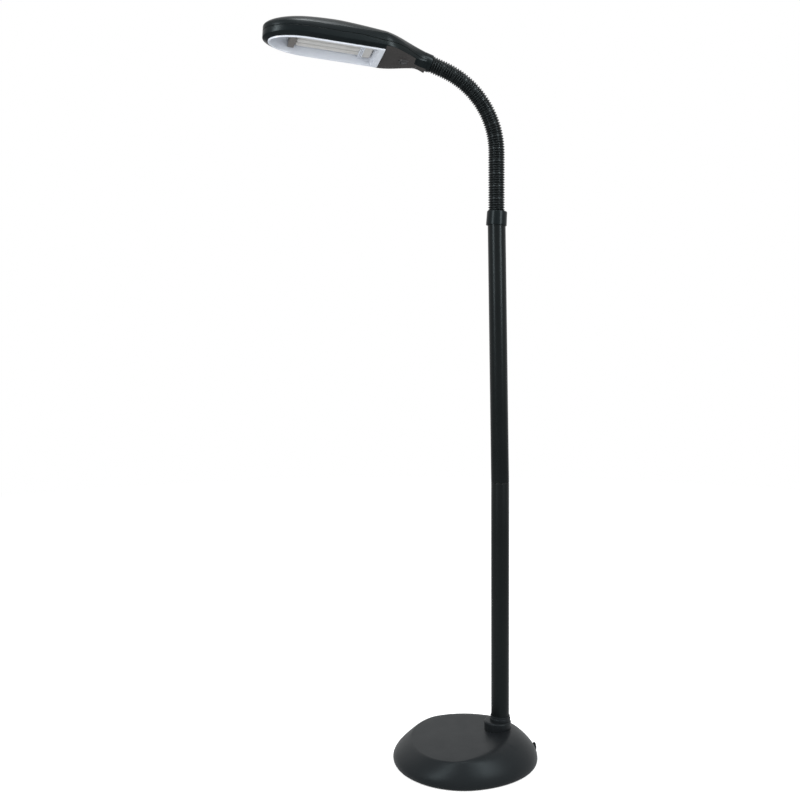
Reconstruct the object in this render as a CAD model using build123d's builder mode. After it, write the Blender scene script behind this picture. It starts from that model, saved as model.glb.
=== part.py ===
"""Gooseneck reading floor lamp: weighted base, two-piece pole, ribbed gooseneck and lamp head.

Millimetres. The origin is on the pole's axis at floor level, +Z up, +X towards the lamp head.
"""
from build123d import *
import math
import os

os.makedirs("parts", exist_ok=True)

# ---- fits -------------------------------------------------------------------
PRESS_FIT = 0.05        # radial room where a piece is pushed home
LOOSE_FIT = 0.3         # room round soft, moulded and moving pieces
THREAD_FIT = 0.1        # radial room of a screw or bolt in its hole
SEAM = 0.15             # room between two moulded pieces that meet

# ---- base -------------------------------------------------------------------
BASE_FRONT = 211.0      # pole axis to the front edge
BASE_REAR = 70.0        # pole axis to the rear edge
BASE_WIDTH = 266.0
BASE_WIDEST = 84.0      # where the foot outline is widest
FOOT_RADIUS = 9.0       # rolled lower edge of the cover
FOOT_TUCK = 5.0         # how far the lower edge draws in
FACET_FRONT = 177.0     # pole axis to the facet's front edge
FACET_REAR = 26.0
FACET_WIDTH = 222.0
FACET_WIDEST = 95.0
FACET_HEIGHT = 59.0     # at the pole's axis
FACET_SLOPE = 6.3       # degrees, falling towards the front
COVER_WALL = 2.5
PAD_THICKNESS = 2.0
PAD_ROOM = 0.5          # between the pad and the cover's lower edge
PLATE_THICKNESS = 1.5
PLATE_INSET = 2.0       # from the inside of the cover's wall
WEIGHT_THICKNESS = 13.0
WEIGHT_INSET = 24.0     # from the foot outline
BALLAST_LENGTH = 86.0
BALLAST_WIDTH = 40.0
BALLAST_HEIGHT = 17.0
BALLAST_PLACE = 108.0   # centre of the ballast box in front of the pole
BASE_SCREW_RADIUS = 2.0
BASE_SCREW_LENGTH = 14.0
BASE_SCREW_ANGLES = (35.0, 145.0, 215.0, 325.0)
SCREW_POST_RADIUS = 5.0
INLET_RADIUS = 5.5      # cord inlet bush through the cover's rear wall
INLET_BORE = 3.4
INLET_FLANGE = 8.0
INLET_HEIGHT = 15.0

# ---- pole -------------------------------------------------------------------
SOCKET_RADIUS = 26.0
SOCKET_TOP = 73.5
SOCKET_SHIFT = 5.0      # the boss stands a little towards the front
SOCKET_FLOOR = 3.0      # solid floor of the socket over the facet
FERRULE_RADIUS = 18.9
FERRULE_STEP = 1.0
FERRULE_RISE = 10.0     # over the socket's top
POLE_RADIUS = 17.5
POLE_WALL = 1.2
JOINT_HEIGHT = 538.0
COLLAR_BOTTOM = 1042.0
COLLAR_TOP = 1070.0
POLE_LEAN = 0.8         # degrees by which the upper tube leans forward
JOINT_CHAMFER = 0.6
COUPLER_LENGTH = 70.0
COUPLER_WALL = 2.0
PLUG_LENGTH = 24.0
NIPPLE_RADIUS = 6.0     # hollow threaded tube that holds the pole down
NIPPLE_BORE = 3.2
NUT_RADIUS = 11.0       # over the corners
NUT_HEIGHT = 7.0
WASHER_RADIUS = 14.0
WASHER_THICKNESS = 1.6

# ---- collar and gooseneck ---------------------------------------------------
COLLAR_RADIUS = 20.3
COLLAR_TAPER = 0.6      # the top is this much narrower
COLLAR_EDGE = 2.2
COLLAR_ROOM = 1.1       # the collar sits loosely round the tube
COLLAR_TILT = -3.4      # degrees by which it leans back
COLLAR_ROOF = 8.8       # its top, where only the hose's tail fits
NECK_RISE = 115.0       # straight rise over the collar
NECK_BEND_RADIUS = 167.0
NECK_BEND = 69.5        # degrees
RIB_PITCH = 4.9
RIB_COUNT = 70
RIBS_PER_LINK = 5
RIB_RADIUS = 16.25
GROOVE_RADIUS = 13.6
CREST_WIDTH = 1.5
FLANK_WIDTH = 0.7
HOSE_BORE = 3.6
LINK_GAP = 2.6          # slit between two links at a groove
BALL_RADIUS = 11.0
HOSE_TAIL = 10.0        # plain end inside the collar and inside the stub
FITTING_RADIUS = 7.0
FITTING_LENGTH = 26.0
FLANGE_THICKNESS = 2.0

# ---- lamp head --------------------------------------------------------------
HEAD_TWIST = 11.2       # degrees about the neck stub's axis
HEAD_DROOP = 16.4       # degrees from the stub's axis down to the head's
STUB_REACH = 98.7       # stub mouth to the opening's neck end, along the head
STUB_DROP = 3.4         # lip plane below the stub mouth's centre
OPENING_LENGTH = 216.0
OPENING_WIDTH = 71.0
OPENING_TIP = 75.0      # length of the rounded tip
SHELL_BULGE = 10.5      # shell stands this far outside the opening
RIM_BULGE = 2.0         # width of the shell's flat rim round the opening
SHELL_WALL = 2.2
EDGE_MID = 3.8          # lower edge of the side walls, at mid length
EDGE_REAR = -1.5        # the same behind the opening
EDGE_END = -2.0         # and at the neck end
EDGE_START = 60.0       # the lower edge begins to fall here
PARTING_HEIGHT = 16.5
PARTING_REAR = 12.0     # the same behind the opening
BAND_TOP = 28.5
BAND_TOP_TIP = 26.0     # and at the tip
BAND_TOP_NECK = 10.0    # and at the neck end
BAND_LEAN = 2.5
CROWN_HEIGHT = 54.4
CROWN_PEAK = 92.0       # where the crown is highest
CROWN_REAR = 44.9       # crown height over the opening's neck end
CROWN_SQUARE = 0.64     # handle length of the crown's curves
SHELL_END = 86.5        # the shells' flat underside ends this far behind the opening
NECK_HALF = 17.0        # half width at the neck end
NECK_TAPER = 1.4        # power of the curve in which the shells narrow
SOLE_INSET = 14.0       # width of the lower chamfer where the flat underside ends
SOLE_INSET_END = 8.0    # and at the neck end
STUB_RADIUS = 16.9
STUB_CROWN = 24.0       # top of the shell at its neck end
STUB_SOLE = -13.0       # underside of the shell at its neck end
SOLE_LEVEL_END = 44.0   # the underside is level as far back as this
PARTING_END = 1.0       # height of the parting line at the neck end
PLUG_THICKNESS = 5.0
HEAD_NUT_HEIGHT = 4.0
TRAY_SHEET = 1.2
TRAY_LIP = 2.8          # lip stands this far below the shell
TRAY_DEPTH = 27.0
TRAY_RIM = 4.0          # top of the tray's thick rim
TRAY_TONGUE = 6.0       # tongue over the shell's floor at the neck end
TRAY_DRAFT = 5.0        # the walls draw in by this on the way up
TRAY_FRAME = 3.0        # lip width
TRAY_END_LIP = 12.0     # wider lip at the neck end
TUBE_RADIUS = 6.2
TUBE_PITCH = 14.0
TUBE_COUNT = 4
TUBE_UNDERSIDE = 10.5   # underside of the tubes over the lip plane
TUBE_START = 40.0
TUBE_LENGTH = 124.0
BULB_BASE_LENGTH = 24.0
BULB_BASE_WIDTH = 57.0
BULB_BASE_HEIGHT = 16.0
BULB_PIN_RADIUS = 1.2
BULB_PIN_LENGTH = 8.0
HOLDER_LENGTH = 24.0
HOLDER_WIDTH = 52.0
HOLDER_HEIGHT = 20.0
SUPPORT_LENGTH = 12.0
SUPPORT_UNDERSIDE = 7.0
LEAD_RADIUS = 1.8
SWITCH_PLACE = 47.0     # rocker's centre behind the opening's neck end
SWITCH_LENGTH = 18.0
SWITCH_WIDTH = 11.0
SWITCH_DEPTH = 12.0
SWITCH_WALL = 3.0
SWITCH_RECESS = 5.0     # the rocker's pivot over the head's underside
ROCKER_THICKNESS = 5.0
ROCKER_DROP = 3.4       # the rocker's face below its pivot
ROCKER_TILT = 5.0       # degrees, switched off
ROCKER_PIVOT_RADIUS = 1.2
SCREW_RADIUS = 1.5
SCREW_HEAD = 2.8
SCREW_HEAD_HEIGHT = 1.6
TRAY_SCREW_ROOM = 12.0  # from the bulb's support to the tray's screw
SHELL_SCREW_PLACE = 70.0
SCREW_POST = 3.2

# ---- derived ----------------------------------------------------------------
LINK_PITCH = RIBS_PER_LINK * RIB_PITCH
LINK_COUNT = RIB_COUNT // RIBS_PER_LINK
NECK_LENGTH = RIB_COUNT * RIB_PITCH
BEND_LENGTH = NECK_BEND_RADIUS * math.radians(NECK_BEND)
POLE_BORE = POLE_RADIUS - POLE_WALL
SHELL_HALF = OPENING_WIDTH / 2 + SHELL_BULGE
TIP_START = OPENING_LENGTH - OPENING_TIP
TIP_LENGTH = OPENING_TIP + SHELL_BULGE
PLATE_BOTTOM = PAD_THICKNESS
PLATE_TOP = PLATE_BOTTOM + PLATE_THICKNESS
WEIGHT_TOP = PLATE_TOP + WEIGHT_THICKNESS
FERRULE_TOP = SOCKET_TOP + FERRULE_RISE
FACET_BASE = Plane((0, 0, FACET_HEIGHT)).rotated((0, FACET_SLOPE, 0))
UPPER = Plane((0, 0, JOINT_HEIGHT)).rotated((0, POLE_LEAN, 0))
UPPER_LENGTH = COLLAR_TOP - HOSE_TAIL - FLANGE_THICKNESS - JOINT_HEIGHT
NECK_SHIFT = (COLLAR_TOP - JOINT_HEIGHT) * math.tan(math.radians(POLE_LEAN))


def save(part, label):
    """Label a finished piece and write it to its file."""
    part.label = label
    export_step(part, "parts/" + label + ".step")


# =============================================================================
# Base
# =============================================================================

def egg(front, rear, widest, width):
    """Draw a closed outline of two half ellipses that meet where it is widest."""
    with BuildLine() as outline:
        EllipticalCenterArc((widest, 0), front - widest, width / 2, start_angle=-90, arc_size=180)
        EllipticalCenterArc((widest, 0), widest + rear, width / 2, start_angle=90, arc_size=180)
    make_face(outline.edges())


def foot_outline(inset):
    """Foot outline of the base, drawn in by an inset."""
    egg(BASE_FRONT - inset, BASE_REAR - inset, BASE_WIDEST, BASE_WIDTH - 2 * inset)


def facet_outline(inset):
    """Outline of the sloping top facet, drawn in by an inset."""
    egg(FACET_FRONT - inset, FACET_REAR - inset, FACET_WIDEST, FACET_WIDTH - 2 * inset)


def base_form(inset):
    """Flank between the foot and the sloping facet, drawn in by an inset."""
    with BuildSketch(Plane.XY.offset(PAD_THICKNESS / 2)) as sole:
        foot_outline(FOOT_TUCK + inset)
    with BuildSketch(Plane.XY.offset(FOOT_RADIUS)) as widest:
        foot_outline(inset)
    with BuildSketch(FACET_BASE.offset(-inset)) as facet:
        facet_outline(inset)
    loft([sole.sketch, widest.sketch, facet.sketch], ruled=True)


def screw_places():
    """Places of the base screws, on an ellipse outside the weight."""
    across = BASE_WIDTH / 2 - WEIGHT_INSET / 2 - SCREW_POST_RADIUS / 2
    along = (BASE_FRONT + BASE_REAR) / 2 - WEIGHT_INSET / 2 - SCREW_POST_RADIUS / 2
    middle = (BASE_FRONT - BASE_REAR) / 2
    return [(middle + along * math.cos(math.radians(a)), across * math.sin(math.radians(a)))
            for a in BASE_SCREW_ANGLES]


with BuildPart() as base_pad:
    with BuildSketch():
        foot_outline(FOOT_TUCK + COVER_WALL + PAD_ROOM)
    extrude(amount=PAD_THICKNESS)

with BuildPart() as base_plate:
    with BuildSketch(Plane.XY.offset(PLATE_BOTTOM)):
        foot_outline(FOOT_TUCK + COVER_WALL + PLATE_INSET)
        with Locations(*screw_places()):
            Circle(BASE_SCREW_RADIUS + THREAD_FIT, mode=Mode.SUBTRACT)
    extrude(amount=PLATE_THICKNESS)

with BuildPart() as base_weight:
    with BuildSketch(Plane.XY.offset(PLATE_TOP)):
        foot_outline(WEIGHT_INSET)
    extrude(amount=WEIGHT_THICKNESS)
    with BuildSketch(Plane.XY.offset(PLATE_TOP)):
        RegularPolygon(NUT_RADIUS + THREAD_FIT, 6)
    extrude(amount=NUT_HEIGHT, mode=Mode.SUBTRACT)
    with BuildSketch(Plane.XY.offset(PLATE_TOP)):
        Circle(NIPPLE_RADIUS + THREAD_FIT)
    extrude(amount=WEIGHT_THICKNESS, mode=Mode.SUBTRACT)

with BuildPart() as base_hollow:
    base_form(COVER_WALL)

with BuildPart() as screw_posts:
    with BuildSketch(Plane.XY.offset(PLATE_TOP)):
        with Locations(*screw_places()):
            Circle(SCREW_POST_RADIUS)
    extrude(amount=FACET_HEIGHT)
    with BuildSketch(Plane.XY.offset(PLATE_TOP)):
        with Locations(*screw_places()):
            Circle(BASE_SCREW_RADIUS + THREAD_FIT)
    extrude(amount=BASE_SCREW_LENGTH, mode=Mode.SUBTRACT)
    add(base_hollow.part, mode=Mode.INTERSECT)

with BuildPart() as base_cover:
    base_form(0)
    add(base_hollow.part, mode=Mode.SUBTRACT)
    with BuildSketch():
        foot_outline(FOOT_TUCK + COVER_WALL)
    extrude(amount=PLATE_TOP, mode=Mode.SUBTRACT)
    add(screw_posts.part)
    with Locations((0, 0, FACET_HEIGHT)):
        Cylinder(NIPPLE_RADIUS + THREAD_FIT, FACET_HEIGHT, mode=Mode.SUBTRACT)
    with BuildSketch(Plane((-BASE_REAR, 0, INLET_HEIGHT), x_dir=(0, 1, 0), z_dir=(1, 0, 0))):
        Circle(INLET_RADIUS + THREAD_FIT)
    extrude(amount=BASE_REAR / 2, mode=Mode.SUBTRACT)

with BuildPart() as base_screws:
    with BuildSketch(Plane.XY.offset(PLATE_BOTTOM)):
        with Locations(*screw_places()):
            Circle(BASE_SCREW_RADIUS)
    extrude(amount=BASE_SCREW_LENGTH)

with BuildPart() as cord_inlet:
    with BuildSketch(Plane((-BASE_REAR, 0, INLET_HEIGHT), x_dir=(0, 1, 0), z_dir=(1, 0, 0))):
        Circle(INLET_RADIUS)
        Circle(INLET_BORE, mode=Mode.SUBTRACT)
    extrude(amount=12)
    with BuildSketch(Plane((-BASE_REAR - 2, 0, INLET_HEIGHT), x_dir=(0, 1, 0), z_dir=(1, 0, 0))):
        Circle(INLET_FLANGE)
        Circle(INLET_BORE, mode=Mode.SUBTRACT)
    extrude(amount=2)

with BuildPart() as ballast:
    with Locations((BALLAST_PLACE, 0, WEIGHT_TOP)):
        Box(BALLAST_LENGTH, BALLAST_WIDTH, BALLAST_HEIGHT, align=(Align.CENTER, Align.CENTER, Align.MIN))
    fillet(ballast.edges().filter_by(Axis.Z), radius=3)

save(base_pad.part, "base_pad")
save(base_plate.part, "base_plate")
save(base_weight.part, "base_weight")
save(base_cover.part, "base_cover")
save(base_screws.part, "base_screws")
save(cord_inlet.part, "cord_inlet")
save(ballast.part, "ballast")

# =============================================================================
# Pole
# =============================================================================

with BuildPart() as anchor_nut:
    with BuildSketch(Plane.XY.offset(PLATE_TOP)):
        RegularPolygon(NUT_RADIUS, 6)
        Circle(NIPPLE_RADIUS + PRESS_FIT, mode=Mode.SUBTRACT)
    extrude(amount=NUT_HEIGHT)

with BuildPart() as pole_socket:
    with BuildSketch(FACET_BASE.offset(SEAM)) as footprint:
        with Locations((SOCKET_SHIFT, 0)):
            Circle(SOCKET_RADIUS)
    extrude(amount=2 * (SOCKET_TOP - FACET_HEIGHT))
    with Locations((0, 0, SOCKET_TOP)):
        Cylinder(2 * SOCKET_RADIUS, SOCKET_TOP, align=(Align.CENTER, Align.CENTER, Align.MIN),
                 mode=Mode.SUBTRACT)
    fillet(pole_socket.faces().sort_by(Axis.Z)[-1].edges(), radius=1.2)
    with BuildSketch(Plane.XY.offset(SOCKET_TOP)):
        Circle(POLE_RADIUS + LOOSE_FIT)
    extrude(amount=FACET_HEIGHT + SOCKET_FLOOR - SOCKET_TOP, mode=Mode.SUBTRACT)
    with BuildSketch():
        Circle(NIPPLE_RADIUS + THREAD_FIT)
    extrude(amount=SOCKET_TOP, mode=Mode.SUBTRACT)

POLE_FOOT = FACET_HEIGHT + SOCKET_FLOOR

with BuildPart() as pole_ferrule:
    with BuildSketch(Plane.XZ):
        with BuildLine():
            Polyline((POLE_RADIUS + LOOSE_FIT, SOCKET_TOP),
                     (FERRULE_RADIUS + FERRULE_STEP, SOCKET_TOP),
                     (FERRULE_RADIUS + FERRULE_STEP, SOCKET_TOP + FERRULE_RISE / 2),
                     (FERRULE_RADIUS, SOCKET_TOP + FERRULE_RISE / 2),
                     (FERRULE_RADIUS, FERRULE_TOP),
                     (POLE_RADIUS + LOOSE_FIT, FERRULE_TOP), close=True)
        make_face()
    revolve(axis=Axis.Z)

with BuildPart() as pole_lower:
    with BuildSketch(Plane.XY.offset(POLE_FOOT)):
        Circle(POLE_RADIUS)
        Circle(POLE_BORE, mode=Mode.SUBTRACT)
    extrude(amount=JOINT_HEIGHT - POLE_FOOT)
    chamfer(pole_lower.faces().sort_by(Axis.Z)[-1].outer_wire().edges(), length=JOINT_CHAMFER)

with BuildPart() as foot_plug:
    with BuildSketch(Plane.XY.offset(POLE_FOOT)):
        Circle(POLE_BORE - PRESS_FIT)
        Circle(NIPPLE_RADIUS + PRESS_FIT, mode=Mode.SUBTRACT)
    extrude(amount=PLUG_LENGTH)

with BuildPart() as nipple:
    with BuildSketch(Plane.XY.offset(PLATE_TOP)):
        Circle(NIPPLE_RADIUS)
        Circle(NIPPLE_BORE, mode=Mode.SUBTRACT)
    extrude(amount=POLE_FOOT + PLUG_LENGTH + NUT_HEIGHT + WASHER_THICKNESS - PLATE_TOP)

with BuildPart() as nipple_washer:
    with BuildSketch(Plane.XY.offset(POLE_FOOT + PLUG_LENGTH)):
        Circle(WASHER_RADIUS)
        Circle(NIPPLE_RADIUS + THREAD_FIT, mode=Mode.SUBTRACT)
    extrude(amount=WASHER_THICKNESS)

with BuildPart() as nipple_nut:
    with BuildSketch(Plane.XY.offset(POLE_FOOT + PLUG_LENGTH + WASHER_THICKNESS)):
        RegularPolygon(NUT_RADIUS, 6)
        Circle(NIPPLE_RADIUS + PRESS_FIT, mode=Mode.SUBTRACT)
    extrude(amount=NUT_HEIGHT)

# the coupling is pressed into the lower tube, and slimmer above for the upper tube's lean
with BuildPart() as pole_coupler:
    with BuildSketch(Plane.XY.offset(JOINT_HEIGHT - COUPLER_LENGTH / 2)):
        Circle(POLE_BORE - PRESS_FIT)
    extrude(amount=COUPLER_LENGTH / 2)
    with BuildSketch(Plane.XY.offset(JOINT_HEIGHT)):
        Circle(POLE_BORE - PRESS_FIT - COUPLER_LENGTH / 2 * math.tan(math.radians(POLE_LEAN)))
    extrude(amount=COUPLER_LENGTH / 2)
    with BuildSketch(Plane.XY.offset(JOINT_HEIGHT - COUPLER_LENGTH / 2)):
        Circle(POLE_BORE - COUPLER_WALL)
    extrude(amount=COUPLER_LENGTH, mode=Mode.SUBTRACT)

# its lower end is cut level, so that the seam closes at the back of the joint
with BuildPart() as pole_upper:
    with BuildSketch(UPPER.offset(POLE_RADIUS * math.sin(math.radians(POLE_LEAN)))):
        Circle(POLE_RADIUS)
        Circle(POLE_BORE, mode=Mode.SUBTRACT)
    extrude(amount=UPPER_LENGTH)
    chamfer(pole_upper.faces().sort_by(Axis.Z)[0].outer_wire().edges(), length=JOINT_CHAMFER)

RIM = UPPER.offset(POLE_RADIUS * math.sin(math.radians(POLE_LEAN)) + UPPER_LENGTH)

with BuildPart() as top_plug:
    with BuildSketch(RIM):
        Circle(POLE_RADIUS)
    extrude(amount=2 * FLANGE_THICKNESS)
    with Locations((NECK_SHIFT, 0, COLLAR_TOP - HOSE_TAIL)):
        Cylinder(2 * POLE_RADIUS, 4 * FLANGE_THICKNESS, align=(Align.CENTER, Align.CENTER, Align.MIN),
                 mode=Mode.SUBTRACT)
    with BuildSketch(RIM):
        Circle(POLE_BORE - PRESS_FIT)
    extrude(amount=-PLUG_LENGTH)
    with BuildSketch(RIM.offset(-PLUG_LENGTH)):
        Circle(FITTING_RADIUS + PRESS_FIT)
    extrude(amount=PLUG_LENGTH + 3 * FLANGE_THICKNESS, mode=Mode.SUBTRACT)

# the stud that joins the gooseneck to the pole, its nut, and the lead through both
with BuildPart() as neck_stud:
    with BuildSketch(RIM.offset(-PLUG_LENGTH - NUT_HEIGHT)):
        Circle(FITTING_RADIUS)
        Circle(HOSE_BORE, mode=Mode.SUBTRACT)
    extrude(amount=NUT_HEIGHT + PLUG_LENGTH + FITTING_LENGTH / 2)

with BuildPart() as neck_nut:
    with BuildSketch(RIM.offset(-PLUG_LENGTH - NUT_HEIGHT)):
        RegularPolygon(NUT_RADIUS, 6)
        Circle(FITTING_RADIUS + PRESS_FIT, mode=Mode.SUBTRACT)
    extrude(amount=NUT_HEIGHT)

with BuildPart() as pole_lead:
    with BuildSketch(Plane.XY.offset(PLATE_TOP)):
        Circle(NIPPLE_BORE - PRESS_FIT)
    extrude(amount=JOINT_HEIGHT - PLATE_TOP)
    with Locations((0, 0, JOINT_HEIGHT)):
        Sphere(NIPPLE_BORE - PRESS_FIT)
    with BuildSketch(UPPER):
        Circle(NIPPLE_BORE - PRESS_FIT)
    extrude(amount=UPPER_LENGTH)

for piece, label in ((anchor_nut, "anchor_nut"), (pole_socket, "pole_socket"),
                     (pole_ferrule, "pole_ferrule"), (pole_lower, "pole_lower"),
                     (foot_plug, "foot_plug"), (nipple, "nipple"),
                     (nipple_washer, "nipple_washer"), (nipple_nut, "nipple_nut"),
                     (pole_coupler, "pole_coupler"), (pole_upper, "pole_upper"),
                     (top_plug, "top_plug"), (neck_stud, "neck_stud"),
                     (neck_nut, "neck_nut"), (pole_lead, "pole_lead")):
    save(piece.part, label)

# =============================================================================
# Collar and gooseneck
# =============================================================================

COLLAR_MIDDLE = (COLLAR_BOTTOM + COLLAR_TOP - COLLAR_ROOF) / 2
COLLAR_SHIFT = (COLLAR_MIDDLE - JOINT_HEIGHT) * math.tan(math.radians(POLE_LEAN))
COLLAR_CENTRE = Plane((COLLAR_SHIFT, 0, COLLAR_MIDDLE)).rotated((0, COLLAR_TILT, 0))
COLLAR_FRAME = COLLAR_CENTRE.offset(COLLAR_TOP - COLLAR_MIDDLE)

with BuildPart() as collar:
    with BuildSketch(COLLAR_FRAME):
        Circle(COLLAR_RADIUS - COLLAR_TAPER)
    extrude(amount=COLLAR_BOTTOM - COLLAR_TOP, taper=-math.degrees(COLLAR_TAPER / (COLLAR_TOP - COLLAR_BOTTOM)))
    fillet(collar.faces().sort_by(Axis.Z)[-1].edges(), radius=COLLAR_EDGE)
    with BuildSketch(COLLAR_FRAME.offset(-COLLAR_ROOF)):
        Circle(POLE_RADIUS + COLLAR_ROOM)
    extrude(amount=COLLAR_BOTTOM - COLLAR_TOP, mode=Mode.SUBTRACT)
    with Locations((NECK_SHIFT, 0, COLLAR_TOP)):
        Cylinder(GROOVE_RADIUS + SEAM, 4 * COLLAR_ROOF, mode=Mode.SUBTRACT)

save(collar.part, "collar")


def along_neck(length):
    """Plane square to the gooseneck's centre line, this far along it from the collar."""
    turn = min(max(length - NECK_RISE, 0) / NECK_BEND_RADIUS, math.radians(NECK_BEND))
    rise = min(length, NECK_RISE)
    rest = max(length - NECK_RISE - BEND_LENGTH, 0)
    x = NECK_SHIFT + NECK_BEND_RADIUS * (1 - math.cos(turn)) + rest * math.sin(turn)
    z = COLLAR_TOP + rise + NECK_BEND_RADIUS * math.sin(turn) + rest * math.cos(turn)
    return Plane((x, 0, z), x_dir=(0, 1, 0), z_dir=(math.sin(turn), 0, math.cos(turn)))


def ring(length, radius):
    """Circle round the gooseneck's centre line."""
    with BuildSketch(along_neck(length)) as outline:
        Circle(radius)
    return outline.sketch


def rib(start):
    """Four circles of one rib that starts at a groove's middle."""
    groove = RIB_PITCH / 2 - CREST_WIDTH / 2 - FLANK_WIDTH
    crest = groove + FLANK_WIDTH
    return [ring(start + groove, GROOVE_RADIUS), ring(start + crest, RIB_RADIUS),
            ring(start + RIB_PITCH - crest, RIB_RADIUS), ring(start + RIB_PITCH - groove, GROOVE_RADIUS)]


def link_bore(start, end):
    """Straight bore from one knuckle to the next."""
    first = along_neck(start)
    last = along_neck(end)
    reach = last.origin - first.origin
    with BuildSketch(Plane(first.origin, x_dir=(0, 1, 0), z_dir=reach)) as mouth:
        Circle(HOSE_BORE)
    extrude(mouth.sketch, amount=reach.length + BALL_RADIUS, mode=Mode.SUBTRACT)
    extrude(mouth.sketch, amount=-BALL_RADIUS, mode=Mode.SUBTRACT)


def link_ribs(number):
    """Loft the ribs of one link, trimmed to leave a slit at its knuckles."""
    start = (number - 1) * LINK_PITCH
    circles = []
    for index in range(RIBS_PER_LINK):
        circles += rib(start + index * RIB_PITCH)
    if number == 1:
        circles.insert(0, ring(-HOSE_TAIL, GROOVE_RADIUS))
    else:
        circles[0] = ring(start + LINK_GAP / 2, GROOVE_RADIUS)
    if number == LINK_COUNT:
        circles.append(ring(NECK_LENGTH + HOSE_TAIL, GROOVE_RADIUS))
    else:
        circles[-1] = ring(start + LINK_PITCH - LINK_GAP / 2, GROOVE_RADIUS)
    loft(circles, ruled=True)


def neck_link(number):
    """One link of the gooseneck, with a ball on top and a cup below."""
    start = (number - 1) * LINK_PITCH
    with BuildPart() as link:
        link_ribs(number)
        if number < LINK_COUNT:
            with Locations(along_neck(start + LINK_PITCH)):
                Sphere(BALL_RADIUS)
        if number > 1:
            with Locations(along_neck(start)):
                Sphere(BALL_RADIUS + LOOSE_FIT, mode=Mode.SUBTRACT)
        link_bore(start, start + LINK_PITCH)
        if number == 1:
            with BuildSketch(RIM) as pocket:
                Circle(FITTING_RADIUS + THREAD_FIT)
            extrude(pocket.sketch, amount=FITTING_LENGTH / 2, mode=Mode.SUBTRACT)
        if number == LINK_COUNT:
            with BuildSketch(along_neck(NECK_LENGTH + HOSE_TAIL)) as pocket:
                Circle(FITTING_RADIUS + THREAD_FIT)
            extrude(pocket.sketch, amount=-FITTING_LENGTH / 2, mode=Mode.SUBTRACT)
    return link.part


for number in range(1, LINK_COUNT + 1):
    save(neck_link(number), "gooseneck_%02d" % number)

# =============================================================================
# Lamp head, drawn in its own frame: x from the opening's neck end to the tip
# =============================================================================

def head_frame():
    """Frame of the head, turned about the neck stub's axis and drooping from it."""
    mouth = along_neck(NECK_LENGTH)
    axis = mouth.z_dir
    side = mouth.x_dir.rotate(Axis((0, 0, 0), axis), HEAD_TWIST)
    forward = axis.rotate(Axis((0, 0, 0), side), HEAD_DROOP)
    up = forward.cross(side)
    origin = mouth.origin + forward * STUB_REACH - up * STUB_DROP
    return Plane(origin, x_dir=forward, z_dir=up)


HEAD = head_frame()
MOUTH = Plane((-STUB_REACH, 0, STUB_DROP), x_dir=(0, 1, 0),
              z_dir=(math.cos(math.radians(HEAD_DROOP)), 0, math.sin(math.radians(HEAD_DROOP))))
SHELL_TIP = OPENING_LENGTH + SHELL_BULGE
TRAY_SCREW_PLACE = TUBE_START + TUBE_LENGTH + SUPPORT_LENGTH + TRAY_SCREW_ROOM


def blend(start, end, share):
    """Value a share of the way from one value to another."""
    return start + (end - start) * min(max(share, 0), 1)


def half_width(x):
    """Half width of the shells at a place along the head."""
    if x > TIP_START:
        return SHELL_HALF * math.sqrt(max(1 - ((x - TIP_START) / TIP_LENGTH) ** 2, 0))
    if x < 0:
        return NECK_HALF + (SHELL_HALF - NECK_HALF) * max(1 + x / SHELL_END, 0) ** NECK_TAPER
    return SHELL_HALF


def sole_height(x):
    """Height of the underside."""
    return blend(0, STUB_SOLE, (-x - SOLE_LEVEL_END) / (SHELL_END - SOLE_LEVEL_END))


def edge_height(x):
    """Height of the side walls' lower edge."""
    if x < -SOLE_LEVEL_END:
        return blend(EDGE_REAR, EDGE_END, (-x - SOLE_LEVEL_END) / (SHELL_END - SOLE_LEVEL_END))
    share = min(max(EDGE_START - x, 0) / (EDGE_START + SOLE_LEVEL_END), 1)
    return blend(EDGE_MID, EDGE_REAR, share ** 2)


def parting_height(x):
    """Height of the seam between the shells."""
    if x < -SOLE_LEVEL_END:
        return blend(PARTING_REAR, PARTING_END, (-x - SOLE_LEVEL_END) / (SHELL_END - SOLE_LEVEL_END))
    return blend(PARTING_REAR, PARTING_HEIGHT, x / SOLE_LEVEL_END)


def band_height(x):
    """Height of the upper band's top edge."""
    if x > CROWN_PEAK:
        return blend(BAND_TOP, BAND_TOP_TIP, (x - CROWN_PEAK) / (SHELL_TIP - CROWN_PEAK))
    return blend(BAND_TOP, BAND_TOP_NECK, -x / SHELL_END)


def crown_height(x):
    """Height of the crown over the head's middle."""
    if x > CROWN_PEAK:
        share = (x - CROWN_PEAK) / (SHELL_TIP - CROWN_PEAK)
        rise = CROWN_HEIGHT - BAND_TOP_TIP
        return BAND_TOP_TIP + rise * max(1 - share ** 1.8, 0) ** 0.55
    if x > 0:
        return CROWN_HEIGHT - (CROWN_HEIGHT - CROWN_REAR) * (1 - x / CROWN_PEAK) ** 1.5
    return CROWN_REAR - (CROWN_REAR - STUB_CROWN) * (-x / SHELL_END) ** 2.2


def sole_inset(x):
    """Width of the flat rim or chamfer between the side wall and the underside."""
    if x < -SOLE_LEVEL_END:
        return blend(SOLE_INSET, SOLE_INSET_END, (-x - SOLE_LEVEL_END) / (SHELL_END - SOLE_LEVEL_END))
    return blend(SHELL_BULGE - RIM_BULGE, SOLE_INSET, -x / SOLE_LEVEL_END)


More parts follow.
